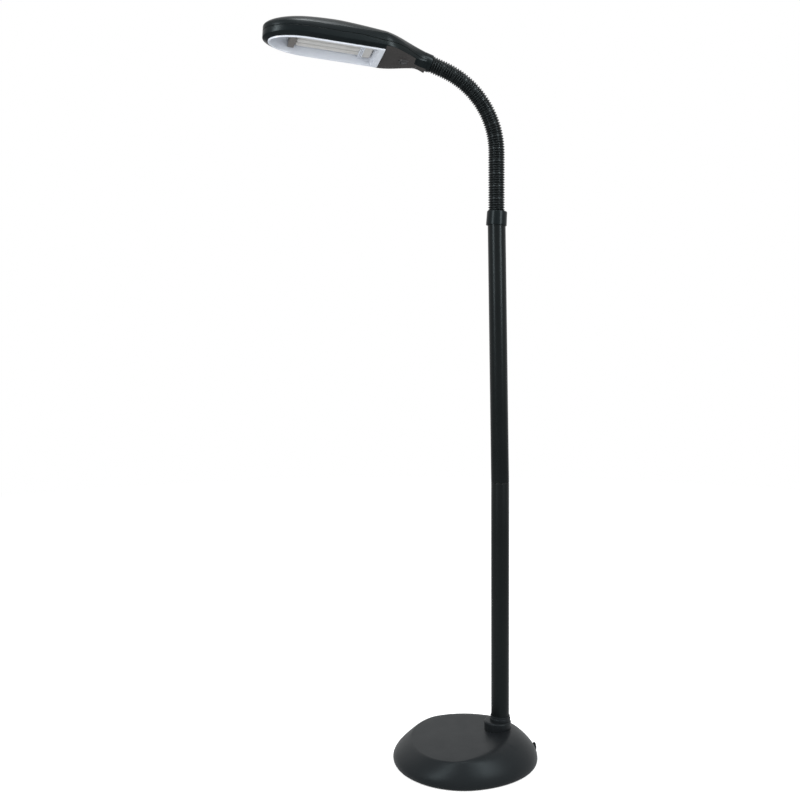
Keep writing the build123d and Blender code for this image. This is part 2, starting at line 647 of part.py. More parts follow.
def head_section(x, inset):
    """Closed cross section of the shells at a place along the head, drawn in by an inset."""
    width = half_width(x) - inset
    lean = BAND_LEAN * width / SHELL_HALF
    rim = OPENING_WIDTH / 2 + RIM_BULGE
    flat = width * rim / SHELL_HALF if x > 0 else width - sole_inset(x)
    sole = sole_height(x) + inset
    edge = edge_height(x) + inset
    seam = parting_height(x)
    band = band_height(x) - inset / 2
    crown = max(crown_height(x) - inset, band + 1)
    top = width - lean
    square = CROWN_SQUARE
    with BuildSketch(Plane((x, 0, 0), x_dir=(0, 1, 0), z_dir=(1, 0, 0))) as section:
        with BuildLine() as outline:
            Polyline((top, band), (width, seam), (width, edge), (flat, sole), (-flat, sole),
                     (-width, edge), (-width, seam), (-top, band))
            Bezier((-top, band), (-top, band + (crown - band) * square), (-top * square, crown), (0, crown))
            Bezier((0, crown), (top * square, crown), (top, band + (crown - band) * square), (top, band))
        make_face(outline.edges())
    return section.sketch


REAR_PLACES = [-SHELL_END, -80.0, -72.0, -62.0, -53.0, -44.0, -33.0, -22.0, -11.0, 0.0]
FRONT_PLACES = [25.0, 44.0, 60.0, CROWN_PEAK, 120.0, TIP_START]
TIP_TURNS = (18.0, 33.0, 46.0, 57.0, 67.0, 76.0, 84.0)


def head_places():
    """Places along the head where its cross section is drawn."""
    tip = [TIP_START + TIP_LENGTH * math.sin(math.radians(turn)) for turn in TIP_TURNS]
    return REAR_PLACES + FRONT_PLACES + tip


def head_form(inset):
    """Outer form of the head, or its hollow when drawn in."""
    places = head_places()
    if inset:
        places = [-SHELL_END + inset] + places[1:-2] + [SHELL_TIP - 3 * inset]
    loft([head_section(x, inset) for x in places], ruled=True)


def opening_outline(inset, end_inset=None):
    """Outline of the opening: square at the neck end, half an ellipse at the tip."""
    half = OPENING_WIDTH / 2 - inset
    start = inset if end_inset is None else end_inset
    with BuildLine() as outline:
        Polyline((TIP_START, half), (start, half), (start, -half), (TIP_START, -half))
        EllipticalCenterArc((TIP_START, 0), OPENING_TIP - inset, half, start_angle=-90, arc_size=180)
    make_face(outline.edges())


def below_seam(room):
    """Everything under the seam between the shells, lowered by a room."""
    places = [-STUB_REACH - SHELL_END] + head_places() + [2 * SHELL_TIP]
    line = [(x, parting_height(x) - room) for x in places]
    low = -2 * SHELL_TIP
    with BuildSketch(Plane.XZ.offset(-SHELL_TIP)) as profile:
        with BuildLine() as outline:
            Polyline(*line, (line[-1][0], low), (line[0][0], low), close=True)
        make_face(outline.edges())
    extrude(profile.sketch, amount=2 * SHELL_TIP)


with BuildPart() as head_hollow:
    head_form(SHELL_WALL)

with BuildPart() as mouth_bore:
    with BuildSketch(MOUTH.offset(-1)) as bore:
        Circle(GROOVE_RADIUS + SEAM)
    extrude(bore.sketch, amount=1 + HOSE_TAIL + PLUG_THICKNESS + HEAD_NUT_HEIGHT)

with BuildPart() as head_whole:
    head_form(0)
    with BuildSketch(MOUTH) as stub:
        Circle(STUB_RADIUS)
    extrude(stub.sketch, amount=HOSE_TAIL + 2 * PLUG_THICKNESS)
    add(head_hollow.part, mode=Mode.SUBTRACT)
    add(mouth_bore.part, mode=Mode.SUBTRACT)

with BuildPart() as under_seam:
    below_seam(0)

with BuildPart() as under_lower_seam:
    below_seam(SEAM)

POST_FOOT = sole_height(SCREW_POST - SHELL_SCREW_PLACE) + SHELL_WALL + SEAM
TRAY_TOP = TRAY_DEPTH - TRAY_LIP

with BuildPart() as upper_posts:
    with BuildSketch(Plane.XY.offset(TRAY_TOP + SEAM)) as foot:
        with Locations((TRAY_SCREW_PLACE, 0)):
            Circle(SCREW_POST)
            Circle(SCREW_RADIUS + PRESS_FIT, mode=Mode.SUBTRACT)
    extrude(foot.sketch, amount=CROWN_HEIGHT)
    with BuildSketch(Plane.XY.offset(POST_FOOT)) as foot:
        with Locations((-SHELL_SCREW_PLACE, 0)):
            Circle(SCREW_POST)
            Circle(SCREW_RADIUS + PRESS_FIT, mode=Mode.SUBTRACT)
    extrude(foot.sketch, amount=CROWN_HEIGHT)
    add(head_hollow.part, mode=Mode.INTERSECT)

with BuildPart() as head_top_shell:
    add(head_whole.part)
    add(under_seam.part, mode=Mode.SUBTRACT)
    add(upper_posts.part)

ROCKER_FRAME = Plane((-SWITCH_PLACE, 0, SWITCH_RECESS)).rotated((0, -ROCKER_TILT, 0))

with BuildPart() as head_lower_shell:
    add(head_whole.part)
    add(under_lower_seam.part, mode=Mode.INTERSECT)
    with BuildSketch(Plane.XY.offset(-TRAY_LIP)) as opening:
        opening_outline(0)
    extrude(opening.sketch, amount=TRAY_DEPTH, mode=Mode.SUBTRACT)
    with BuildSketch(Plane.XY.offset(-SHELL_WALL)) as slot:
        with Locations((-SWITCH_PLACE, 0)):
            SlotOverall(SWITCH_LENGTH + 2 * LOOSE_FIT, SWITCH_WIDTH + 2 * LOOSE_FIT)
    extrude(slot.sketch, amount=3 * SHELL_WALL, mode=Mode.SUBTRACT)
    with Locations((-SHELL_SCREW_PLACE, 0, 0)):
        Cylinder(SCREW_RADIUS + THREAD_FIT, SHELL_END, mode=Mode.SUBTRACT)

# ---- reflector tray ----

def tray_loft(inset, top):
    """Tapering inside of the tray, or its outside when drawn out."""
    with BuildSketch(Plane.XY.offset(-TRAY_LIP)) as low:
        opening_outline(SEAM + TRAY_FRAME + inset, TRAY_END_LIP + inset)
    with BuildSketch(Plane.XY.offset(top)) as high:
        opening_outline(SEAM + TRAY_FRAME + TRAY_DRAFT + inset, TRAY_END_LIP + TRAY_DRAFT + inset)
    loft([low.sketch, high.sketch], ruled=True)


def pin_places():
    """Places of the bulb's pins across the head and up from the lip plane."""
    height = TUBE_UNDERSIDE + TUBE_RADIUS
    return [((index - 1.5) * TUBE_PITCH, height) for index in range(TUBE_COUNT)]


with BuildPart() as tray_inside:
    tray_loft(0, TRAY_TOP - TRAY_SHEET)

with BuildPart() as reflector_tray:
    tray_loft(-TRAY_SHEET, TRAY_TOP)
    with BuildSketch(Plane.XY.offset(-TRAY_LIP)) as rim:
        opening_outline(SEAM)
    extrude(rim.sketch, amount=TRAY_LIP + TRAY_RIM)
    with Locations((0, 0, SHELL_WALL + SEAM)):
        Box(2 * TRAY_TONGUE, OPENING_WIDTH / 2, TRAY_RIM - SHELL_WALL - SEAM,
            align=(Align.CENTER, Align.CENTER, Align.MIN))
    add(tray_inside.part, mode=Mode.SUBTRACT)
    with Locations((TRAY_SCREW_PLACE, 0, TRAY_TOP)):
        Cylinder(SCREW_RADIUS + THREAD_FIT, TRAY_DEPTH, mode=Mode.SUBTRACT)
    with BuildSketch(Plane.YZ.offset(TRAY_END_LIP)) as holes:
        with Locations(*pin_places()):
            Circle(BULB_PIN_RADIUS + LOOSE_FIT)
    extrude(holes.sketch, amount=-TRAY_DRAFT, both=True, mode=Mode.SUBTRACT)

# ---- bulb, its holder and support ----

BULB_START = TRAY_END_LIP + TRAY_DRAFT + LOOSE_FIT
HOLDER_FACE = TRAY_END_LIP - TRAY_SHEET + TRAY_DRAFT * (TRAY_RIM + TRAY_LIP) / TRAY_DEPTH

with BuildPart() as bulb_tubes:
    with BuildSketch(Plane.YZ.offset(TUBE_START)) as tubes:
        with Locations(*pin_places()):
            Circle(TUBE_RADIUS)
    extrude(tubes.sketch, amount=TUBE_LENGTH - TUBE_RADIUS)
    for across, height in pin_places():
        with Locations((TUBE_START + TUBE_LENGTH - TUBE_RADIUS, across, height)):
            Sphere(TUBE_RADIUS)
    with Locations((TUBE_START + TUBE_LENGTH - 2 * TUBE_RADIUS, 0, TUBE_UNDERSIDE + TUBE_RADIUS)):
        Cylinder(TUBE_RADIUS / 2, (TUBE_COUNT - 1) * TUBE_PITCH, rotation=(90, 0, 0))

with BuildPart() as bulb_base:
    with Locations((BULB_START, 0, TUBE_UNDERSIDE + TUBE_RADIUS)):
        Box(BULB_BASE_LENGTH, BULB_BASE_WIDTH, BULB_BASE_HEIGHT, align=(Align.MIN, Align.CENTER, Align.CENTER))
    fillet(bulb_base.edges().filter_by(Axis.X), radius=3)
    add(tray_inside.part, mode=Mode.INTERSECT)
    with BuildSketch(Plane.YZ.offset(TUBE_START)) as sockets:
        with Locations(*pin_places()):
            Circle(TUBE_RADIUS + PRESS_FIT)
    extrude(sockets.sketch, amount=BULB_BASE_LENGTH, mode=Mode.SUBTRACT)
    with BuildSketch(Plane.YZ.offset(BULB_START + SCREW_RADIUS)) as pins:
        with Locations(*pin_places()):
            Circle(BULB_PIN_RADIUS)
    extrude(pins.sketch, amount=-BULB_PIN_LENGTH - SCREW_RADIUS)

with BuildPart() as lampholder:
    with Locations((HOLDER_FACE, 0, TRAY_RIM)):
        Box(HOLDER_LENGTH, HOLDER_WIDTH, HOLDER_HEIGHT, align=(Align.MAX, Align.CENTER, Align.MIN))
    with BuildSketch(Plane.YZ.offset(HOLDER_FACE)) as holes:
        with Locations(*pin_places()):
            Circle(BULB_PIN_RADIUS + PRESS_FIT)
    extrude(holes.sketch, amount=-HOLDER_LENGTH / 2, mode=Mode.SUBTRACT)

with BuildPart() as bulb_support:
    with Locations((TUBE_START + TUBE_LENGTH, 0, SUPPORT_UNDERSIDE)):
        Box(SUPPORT_LENGTH, BULB_BASE_WIDTH, TRAY_DEPTH, align=(Align.MIN, Align.CENTER, Align.MIN))
    add(tray_inside.part, mode=Mode.INTERSECT)

# ---- switch ----

with BuildPart() as switch_body:
    with Locations((-SWITCH_PLACE, 0, SHELL_WALL)):
        Box(SWITCH_LENGTH + 2 * SWITCH_WALL, SWITCH_WIDTH + 2 * SWITCH_WALL, SWITCH_DEPTH,
            align=(Align.CENTER, Align.CENTER, Align.MIN))
    with BuildSketch(Plane.XY.offset(SHELL_WALL)) as pocket:
        with Locations((-SWITCH_PLACE, 0)):
            SlotOverall(SWITCH_LENGTH + 2 * LOOSE_FIT, SWITCH_WIDTH + 2 * LOOSE_FIT)
    extrude(pocket.sketch, amount=SWITCH_DEPTH - SWITCH_WALL, mode=Mode.SUBTRACT)
    with Locations((-SWITCH_PLACE, 0, SWITCH_RECESS)):
        Cylinder(ROCKER_PIVOT_RADIUS + PRESS_FIT, SWITCH_WIDTH + SWITCH_WALL, rotation=(90, 0, 0),
                 mode=Mode.SUBTRACT)

with BuildPart() as rocker:
    with BuildSketch(ROCKER_FRAME.offset(-ROCKER_DROP)) as face:
        SlotOverall(SWITCH_LENGTH, SWITCH_WIDTH)
    extrude(face.sketch, amount=ROCKER_THICKNESS)
    with Locations((-SWITCH_PLACE, 0, SWITCH_RECESS)):
        Cylinder(ROCKER_PIVOT_RADIUS, SWITCH_WIDTH + SWITCH_WALL - 2 * LOOSE_FIT, rotation=(90, 0, 0))

# ---- screws, neck plug, stud, nut and lead ----

def head_screw(place, seat, length):
    """Screw with a round head under a seat height, its shank going up."""
    with Locations((place, 0, seat)):
        Cylinder(SCREW_HEAD, SCREW_HEAD_HEIGHT, align=(Align.CENTER, Align.CENTER, Align.MAX))
        Cylinder(SCREW_RADIUS, length, align=(Align.CENTER, Align.CENTER, Align.MIN))


with BuildPart() as tray_screw:
    head_screw(TRAY_SCREW_PLACE, TRAY_TOP - TRAY_SHEET, 12)

with BuildPart() as shell_screw:
    head_screw(-SHELL_SCREW_PLACE, sole_height(-SHELL_SCREW_PLACE - SCREW_HEAD), 16)

with BuildPart() as head_plug:
    with BuildSketch(MOUTH.offset(HOSE_TAIL)) as face:
        Circle(GROOVE_RADIUS)
        Circle(FITTING_RADIUS + PRESS_FIT, mode=Mode.SUBTRACT)
    extrude(face.sketch, amount=PLUG_THICKNESS)

with BuildPart() as head_nut:
    with BuildSketch(MOUTH.offset(HOSE_TAIL + PLUG_THICKNESS)) as face:
        RegularPolygon(NUT_RADIUS, 6)
        Circle(FITTING_RADIUS + PRESS_FIT, mode=Mode.SUBTRACT)
    extrude(face.sketch, amount=HEAD_NUT_HEIGHT)

with BuildPart() as head_stud:
    with BuildSketch(MOUTH.offset(HOSE_TAIL - FITTING_LENGTH / 2)) as face:
        Circle(FITTING_RADIUS)
        Circle(HOSE_BORE, mode=Mode.SUBTRACT)
    extrude(face.sketch, amount=FITTING_LENGTH / 2 + PLUG_THICKNESS + HEAD_NUT_HEIGHT + 1)


def lead_run(points, radius):
    """Round lead through a row of points."""
    for start, end in zip(points, points[1:]):
        with BuildSketch(Plane(start, z_dir=end - start)) as section:
            Circle(radius)
        extrude(section.sketch, amount=(end - start).length)
    for point in points[1:-1]:
        with Locations(point):
            Sphere(radius)


LEAD_START = MOUTH.offset(HOSE_TAIL).origin
LEAD_EXIT = MOUTH.offset(HOSE_TAIL + PLUG_THICKNESS + HEAD_NUT_HEIGHT + 1 + LEAD_RADIUS).origin
LEAD_SIDE = Vector(-SHELL_SCREW_PLACE - SCREW_POST, 2 * SCREW_POST, SWITCH_DEPTH + SHELL_WALL + LEAD_RADIUS)
LEAD_END = Vector(HOLDER_FACE - HOLDER_LENGTH, 2 * SCREW_POST, SWITCH_DEPTH + SHELL_WALL + LEAD_RADIUS)

with BuildPart() as head_lead:
    lead_run([LEAD_START, LEAD_EXIT, LEAD_SIDE, LEAD_END], LEAD_RADIUS)

for piece, label in ((head_top_shell, "head_top_shell"), (head_lower_shell, "head_lower_shell"),
                     (reflector_tray, "reflector_tray"), (bulb_tubes, "bulb_tubes"),
                     (bulb_base, "bulb_base"), (lampholder, "lampholder"),
                     (bulb_support, "bulb_support"), (switch_body, "switch_body"),
                     (rocker, "rocker"), (tray_screw, "tray_screw"), (shell_screw, "shell_screw"),
                     (head_plug, "head_plug"), (head_nut, "head_nut"), (head_stud, "head_stud"),
                     (head_lead, "head_lead")):
    save(piece.part.moved(HEAD.location), label)
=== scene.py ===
"""Gooseneck reading floor lamp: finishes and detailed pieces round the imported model, in metres."""
import math
import bmesh
import bpy
from mathutils import Matrix, Vector


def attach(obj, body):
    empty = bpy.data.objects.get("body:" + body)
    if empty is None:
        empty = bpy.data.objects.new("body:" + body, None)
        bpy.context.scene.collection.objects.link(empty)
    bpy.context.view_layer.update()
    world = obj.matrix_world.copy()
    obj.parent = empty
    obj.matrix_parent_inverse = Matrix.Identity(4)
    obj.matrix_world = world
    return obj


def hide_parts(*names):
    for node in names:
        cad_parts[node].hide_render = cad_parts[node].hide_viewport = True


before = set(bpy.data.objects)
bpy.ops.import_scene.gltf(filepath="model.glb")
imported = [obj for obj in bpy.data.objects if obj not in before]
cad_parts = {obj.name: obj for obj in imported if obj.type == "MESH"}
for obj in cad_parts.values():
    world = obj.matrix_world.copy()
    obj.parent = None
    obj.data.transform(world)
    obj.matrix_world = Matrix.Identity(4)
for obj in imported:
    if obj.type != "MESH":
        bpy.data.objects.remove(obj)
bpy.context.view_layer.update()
scene = bpy.context.scene


# =============================================================================
# Camera, at the photograph's angle and distance
# =============================================================================

PICTURE = 800.0        # pixels across
FOCAL_PIXELS = 950.0
HORIZON_ROW = 347.0
SENSOR_WIDTH = 36.0    # mm
CLIP_NEAR, CLIP_FAR = 0.05, 50.0
CAMERA_TURN = math.radians(11.5)
CAMERA_HEIGHT = 0.804
CAMERA_DISTANCE = 1.863
CAMERA_SIDE = 0.1963


def make_camera():
    data = bpy.data.cameras.new("camera")
    data.sensor_fit = "HORIZONTAL"
    data.sensor_width = SENSOR_WIDTH
    data.lens = FOCAL_PIXELS / PICTURE * data.sensor_width
    data.shift_y = (HORIZON_ROW - PICTURE / 2) / PICTURE
    data.clip_start = CLIP_NEAR
    data.clip_end = CLIP_FAR
    camera = bpy.data.objects.new("camera", data)
    scene.collection.objects.link(camera)
    ahead = Vector((-math.sin(CAMERA_TURN), -math.cos(CAMERA_TURN), 0))
    right = Vector((-math.cos(CAMERA_TURN), math.sin(CAMERA_TURN), 0))
    height = Vector((0, 0, CAMERA_HEIGHT))
    camera.location = -ahead * CAMERA_DISTANCE - right * CAMERA_SIDE + height
    camera.rotation_euler = ahead.to_track_quat("-Z", "Y").to_euler()
    scene.camera = camera


# =============================================================================
# Light, floor and background
# =============================================================================

# name, place, target and size in metres, power in watts
LIGHTS = (
    ("right_box", (-0.85, 1.4, 1.85), (0.1, 0, 1.3), (0.4, 2.1), 38),
    ("left_box", (1.8, 0.95, 1.85), (0.2, 0, 1.3), (0.4, 2.1), 38),
    ("top_box", (0.25, 0.1, 3.0), (0.1, 0, 0), (0.55, 0.55), 14),
)
WORLD_COLOUR = (0.93, 0.97, 1.0, 1)
WORLD_STRENGTH = 0.45
WHITE = (1, 1, 1, 1)
FLOOR_COLOUR = (0.8, 0.8, 0.8, 1)
FLOOR_GLOW = 0.62      # seen by the camera only, so that the floor looks white and keeps its shadow
FLOOR_RADIUS, FLOOR_CORNERS = 4.0, 96


def make_light(name, place, target, size, power):
    data = bpy.data.lights.new(name, "AREA")
    data.shape = "RECTANGLE"
    data.size, data.size_y = size
    data.energy = power
    light = bpy.data.objects.new(name, data)
    scene.collection.objects.link(light)
    light.location = place
    aim = Vector(target) - Vector(place)
    light.rotation_euler = aim.to_track_quat("-Z", "Y").to_euler()


def make_world():
    """Soft light for diffuse surfaces, and plain white where the camera, gloss or glass looks."""
    world = bpy.data.worlds.new("studio")
    world.use_nodes = True
    tree = world.node_tree
    tree.nodes.clear()
    output = tree.nodes.new("ShaderNodeOutputWorld")
    mix = tree.nodes.new("ShaderNodeMixShader")
    light = tree.nodes.new("ShaderNodeBackground")
    shown = tree.nodes.new("ShaderNodeBackground")
    path = tree.nodes.new("ShaderNodeLightPath")
    light.inputs["Color"].default_value = WORLD_COLOUR
    light.inputs["Strength"].default_value = WORLD_STRENGTH
    shown.inputs["Color"].default_value = WHITE
    shown.inputs["Strength"].default_value = 1.0
    seen = path.outputs["Is Camera Ray"]
    for ray in ("Is Glossy Ray", "Is Transmission Ray"):
        either = tree.nodes.new("ShaderNodeMath")
        either.operation = "MAXIMUM"
        tree.links.new(seen, either.inputs[0])
        tree.links.new(path.outputs[ray], either.inputs[1])
        seen = either.outputs[0]
    tree.links.new(seen, mix.inputs["Fac"])
    tree.links.new(light.outputs["Background"], mix.inputs[1])
    tree.links.new(shown.outputs["Background"], mix.inputs[2])
    tree.links.new(mix.outputs["Shader"], output.inputs["Surface"])
    scene.world = world


def make_floor():
    bpy.ops.mesh.primitive_circle_add(vertices=FLOOR_CORNERS, radius=FLOOR_RADIUS,
                                      fill_type="NGON", location=(0, 0, 0))
    floor = bpy.context.object
    floor.name = "floor"
    material = bpy.data.materials.new("floor_white")
    material.use_nodes = True
    tree = material.node_tree
    tree.nodes.clear()
    output = tree.nodes.new("ShaderNodeOutputMaterial")
    add = tree.nodes.new("ShaderNodeAddShader")
    diffuse = tree.nodes.new("ShaderNodeBsdfDiffuse")
    glow = tree.nodes.new("ShaderNodeEmission")
    path = tree.nodes.new("ShaderNodeLightPath")
    power = tree.nodes.new("ShaderNodeMath")
    power.operation = "MULTIPLY"
    power.inputs[1].default_value = FLOOR_GLOW
    diffuse.inputs["Color"].default_value = FLOOR_COLOUR
    tree.links.new(path.outputs["Is Camera Ray"], power.inputs[0])
    tree.links.new(power.outputs[0], glow.inputs["Strength"])
    tree.links.new(diffuse.outputs[0], add.inputs[0])
    tree.links.new(glow.outputs[0], add.inputs[1])
    tree.links.new(add.outputs[0], output.inputs["Surface"])
    floor.data.materials.append(material)


# =============================================================================
# Materials
# =============================================================================

NOISE_LOW, NOISE_HIGH = 0.3, 0.7    # the part of the noise's range that is used
NOISE_ROUGHNESS = 0.55
CLOUD_DETAIL, GRAIN_DETAIL = 3.0, 2.0
GLOSS_SCALE = 3                     # uneven gloss is this much finer than the colour's clouds
BUMP_STRENGTH = 0.35
CLOUD = 9.0
COOL = (0.8, 0.95, 1.0, 1.0)
DARK_PAINT, LIGHT_PAINT = (0.0022, 0.0026, 0.0026), (0.0032, 0.0037, 0.0037)

# material's name, darkest and lightest colour, range of roughness, the grain's scale and depth,
# the clouds' scale, other sockets of the shader
FINISHES = {
    "shell": ("shell_plastic", (0.0018, 0.0030, 0.0034), (0.0028, 0.0042, 0.0048), (0.27, 0.3),
              1400, 0.00002, 3.0, {"Specular IOR Level": 0.14, "Specular Tint": COOL}),
    "base": ("base_plastic", (0.006, 0.007, 0.008), (0.0085, 0.0095, 0.0105), (0.38, 0.43),
             1100, 0.0001, CLOUD, {"Specular IOR Level": 0.15, "Specular Tint": COOL}),
    "pole": ("pole_paint", DARK_PAINT, LIGHT_PAINT, (0.27, 0.32),
             1300, 0.00003, CLOUD, {"Specular IOR Level": 0.15, "Specular Tint": COOL}),
    "hose": ("hose_plastic", DARK_PAINT, LIGHT_PAINT, (0.26, 0.32),
             1500, 0.00003, CLOUD, {"Specular IOR Level": 0.26, "Specular Tint": COOL}),
    "tray": ("tray_white", (0.62, 0.65, 0.71), (0.66, 0.69, 0.74), (0.22, 0.28),
             900, 0.00003, CLOUD, {}),
    "tube": ("tube_glass", (0.5, 0.49, 0.475), (0.55, 0.54, 0.525), (0.12, 0.18),
             600, 0.00001, CLOUD, {"Coat Weight": 0.6}),
    "ivory": ("bulb_plastic", (0.48, 0.47, 0.45), (0.54, 0.53, 0.51), (0.35, 0.42),
              1200, 0.00004, CLOUD, {}),
    # painted shade: the support's dark grey-brown stands in for the shade in the tray's end recess
    "holder": ("support_painted_shade", (0.13, 0.12, 0.11), (0.17, 0.155, 0.145), (0.45, 0.55),
               1200, 0.00005, CLOUD, {}),
    "moulded": ("moulded_black", (0.015, 0.015, 0.016), (0.021, 0.021, 0.022), (0.42, 0.5),
                1300, 0.00006, CLOUD, {}),
    # painted light: the underside's grey is far lighter than the shell's and stands in for light on
    # faces that look down; its roughness and grain are real
    "sole": ("underside_grain_and_painted_light", (0.042, 0.0395, 0.0385), (0.05, 0.047, 0.046), (0.6, 0.68),
             700, 0.0002, CLOUD, {"Specular IOR Level": 0.1}),
    "black_steel": ("blackened_steel", (0.02, 0.02, 0.021), (0.03, 0.03, 0.031), (0.4, 0.5),
                    700, 0.00004, CLOUD, {}),
    "iron": ("cast_iron", (0.11, 0.11, 0.11), (0.17, 0.165, 0.16), (0.6, 0.75),
             500, 0.0003, CLOUD, {"Metallic": 0.8}),
    "steel": ("zinc_steel", (0.5, 0.5, 0.52), (0.6, 0.6, 0.61), (0.28, 0.4),
              700, 0.00004, CLOUD, {"Metallic": 1.0}),
    "rubber": ("rubber", (0.02, 0.02, 0.02), (0.03, 0.03, 0.03), (0.7, 0.8),
               900, 0.0001, CLOUD, {}),
}

NODE_FINISH = {
    "base_pad": "rubber", "base_plate": "steel", "base_weight": "iron", "base_cover": "base",
    "base_screws": "steel", "cord_inlet": "base", "ballast": "moulded", "anchor_nut": "steel",
    "pole_socket": "base", "pole_ferrule": "base", "pole_lower": "pole", "foot_plug": "moulded",
    "nipple": "steel", "nipple_washer": "steel", "nipple_nut": "steel",
    "pole_coupler": "black_steel", "pole_upper": "pole", "top_plug": "moulded",
    "neck_stud": "steel", "neck_nut": "steel", "pole_lead": "rubber", "collar": "shell",
    "head_stud": "steel", "head_plug": "moulded", "head_nut": "steel", "head_top_shell": "shell",
    "head_lower_shell": "shell", "reflector_tray": "tray", "bulb_tubes": "tube",
    "bulb_base": "ivory", "lampholder": "moulded", "bulb_support": "holder",
    "switch_body": "moulded", "rocker": "moulded", "tray_screw": "steel",
    "shell_screw": "steel", "head_lead": "rubber",
}


def noise(tree, scale, detail):
    """Noise over the object's own coordinates."""
    place = tree.nodes.new("ShaderNodeTexCoord")
    texture = tree.nodes.new("ShaderNodeTexNoise")
    texture.inputs["Scale"].default_value = scale
    texture.inputs["Detail"].default_value = detail
    texture.inputs["Roughness"].default_value = NOISE_ROUGHNESS
    tree.links.new(place.outputs["Object"], texture.inputs["Vector"])
    return texture.outputs["Fac"]


def ramp(tree, source, low, high):
    """Map noise onto a range."""
    node = tree.nodes.new("ShaderNodeMapRange")
    node.inputs["From Min"].default_value = NOISE_LOW
    node.inputs["From Max"].default_value = NOISE_HIGH
    node.inputs["To Min"].default_value = low
    node.inputs["To Max"].default_value = high
    tree.links.new(source, node.inputs["Value"])
    return node.outputs["Result"]


def tint(tree, source, dark, light):
    """Blend two colours by a 0..1 value."""
    node = tree.nodes.new("ShaderNodeMix")
    node.data_type = "RGBA"
    node.inputs["A"].default_value = (*dark, 1)
    node.inputs["B"].default_value = (*light, 1)
    tree.links.new(source, node.inputs["Factor"])
    return node.outputs["Result"]


def bump(tree, shader, source, distance):
    node = tree.nodes.new("ShaderNodeBump")
    node.inputs["Strength"].default_value = BUMP_STRENGTH
    node.inputs["Distance"].default_value = distance
    tree.links.new(source, node.inputs["Height"])
    tree.links.new(node.outputs["Normal"], shader.inputs["Normal"])


def make_finish(name, dark, light, rough, grain, depth, cloud, sockets):
    """A material with cloudy colour, uneven gloss and a fine grain."""
    material = bpy.data.materials.new(name)
    material.use_nodes = True
    tree = material.node_tree
    shader = tree.nodes["Principled BSDF"]
    # an export that bakes nothing shows these two
    shader.inputs["Base Color"].default_value = (*dark, 1)
    shader.inputs["Roughness"].default_value = rough[0]
    for socket, value in sockets.items():
        shader.inputs[socket].default_value = value
    clouds = ramp(tree, noise(tree, cloud, CLOUD_DETAIL), 0, 1)
    gloss = ramp(tree, noise(tree, cloud * GLOSS_SCALE, CLOUD_DETAIL), *rough)
    tree.links.new(tint(tree, clouds, dark, light), shader.inputs["Base Color"])
    tree.links.new(gloss, shader.inputs["Roughness"])
    bump(tree, shader, noise(tree, grain, GRAIN_DETAIL), depth)
    return material


def dress_nodes():
    for name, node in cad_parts.items():
        finish = "hose" if name.startswith("gooseneck") else NODE_FINISH[name]
        node.data.materials.clear()
        node.data.materials.append(MATERIALS[finish])


# =============================================================================
# Shared geometry, in millimetres until a mesh is made
# =============================================================================

MM_PER_METRE = 1000
MERGE = 1e-6            # metres
TINY = 1e-6
HALF_AN_EDGE = 0.49     # the most of an edge that one rounded corner takes up
TIP_RADIUS = 0.01       # smallest ring at a tip, so that it stays a ring
# angles in degrees, from which an edge stays sharp
SHARP_SHELL, SHARP_PIN, SHARP_TURNED, SHARP_SOFT, SHARP_HOSE = 24, 35, 40, 50, 60

SIDE = Vector((0, 1, 0))
UP = Vector((0, 0, 1))
POLE_LEAN = math.radians(0.8)
JOINT_HEIGHT = 538.0
COLLAR_TOP = 1070.0
NECK_SHIFT = (COLLAR_TOP - JOINT_HEIGHT) * math.tan(POLE_LEAN)
NECK_RISE = 115.0
NECK_BEND_RADIUS = 167.0
NECK_BEND = math.radians(69.5)
NECK_LENGTH = 343.0
HEAD_TWIST = math.radians(11.2)
HEAD_DROOP = math.radians(16.4)
STUB_REACH = 98.7
STUB_DROP = 3.4


def along_neck(length):
    """Point and direction of the gooseneck's centre line, this far from the collar."""
    turn = min(max(length - NECK_RISE, 0) / NECK_BEND_RADIUS, NECK_BEND)
    rise = min(length, NECK_RISE)
    rest = max(length - NECK_RISE - NECK_BEND_RADIUS * NECK_BEND, 0)
    ahead = Vector((math.sin(turn), 0, math.cos(turn)))
    x = NECK_SHIFT + NECK_BEND_RADIUS * (1 - math.cos(turn)) + rest * ahead.x
    z = COLLAR_TOP + rise + NECK_BEND_RADIUS * math.sin(turn) + rest * ahead.z
    return Vector((x, 0, z)), ahead


def head_axes():
    """Origin and axes of the head's frame."""
    mouth, axis = along_neck(NECK_LENGTH)
    side = Matrix.Rotation(HEAD_TWIST, 3, axis) @ SIDE
    forward = Matrix.Rotation(HEAD_DROOP, 3, side) @ axis
    up = forward.cross(side)
    return mouth + forward * STUB_REACH - up * STUB_DROP, forward, side, up


HEAD_ORIGIN, HEAD_X, HEAD_Y, HEAD_Z = head_axes()


def from_head(x, y, z):
    """A point of the head's frame in the lamp's frame."""
    return HEAD_ORIGIN + HEAD_X * x + HEAD_Y * y + HEAD_Z * z


def make_mesh(name, points, faces, material, body, replaced, sharp):
    """A piece from points in millimetres, smooth but for its sharp edges, riding on a body."""
    mesh = bpy.data.meshes.new(name)
    mesh.from_pydata([tuple(c / MM_PER_METRE for c in point) for point in points], [], faces)
    work = bmesh.new()
    work.from_mesh(mesh)
    bmesh.ops.remove_doubles(work, verts=work.verts, dist=MERGE)
    bmesh.ops.dissolve_degenerate(work, edges=work.edges, dist=MERGE)
    bmesh.ops.recalc_face_normals(work, faces=work.faces)
    work.to_mesh(mesh)
    work.free()
    mesh.shade_smooth()
    mesh.set_sharp_from_angle(angle=math.radians(sharp))
    piece = bpy.data.objects.new(name, mesh)
    scene.collection.objects.link(piece)
    mesh.materials.append(MATERIALS[material])
    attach(piece, body)
    if replaced:
        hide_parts(*replaced)
    return piece


def thicken(piece, wall):
    """Give a skin its wall, inwards."""
    modifier = piece.modifiers.new("wall", "SOLIDIFY")
    modifier.thickness = wall / MM_PER_METRE
    modifier.offset = -1.0


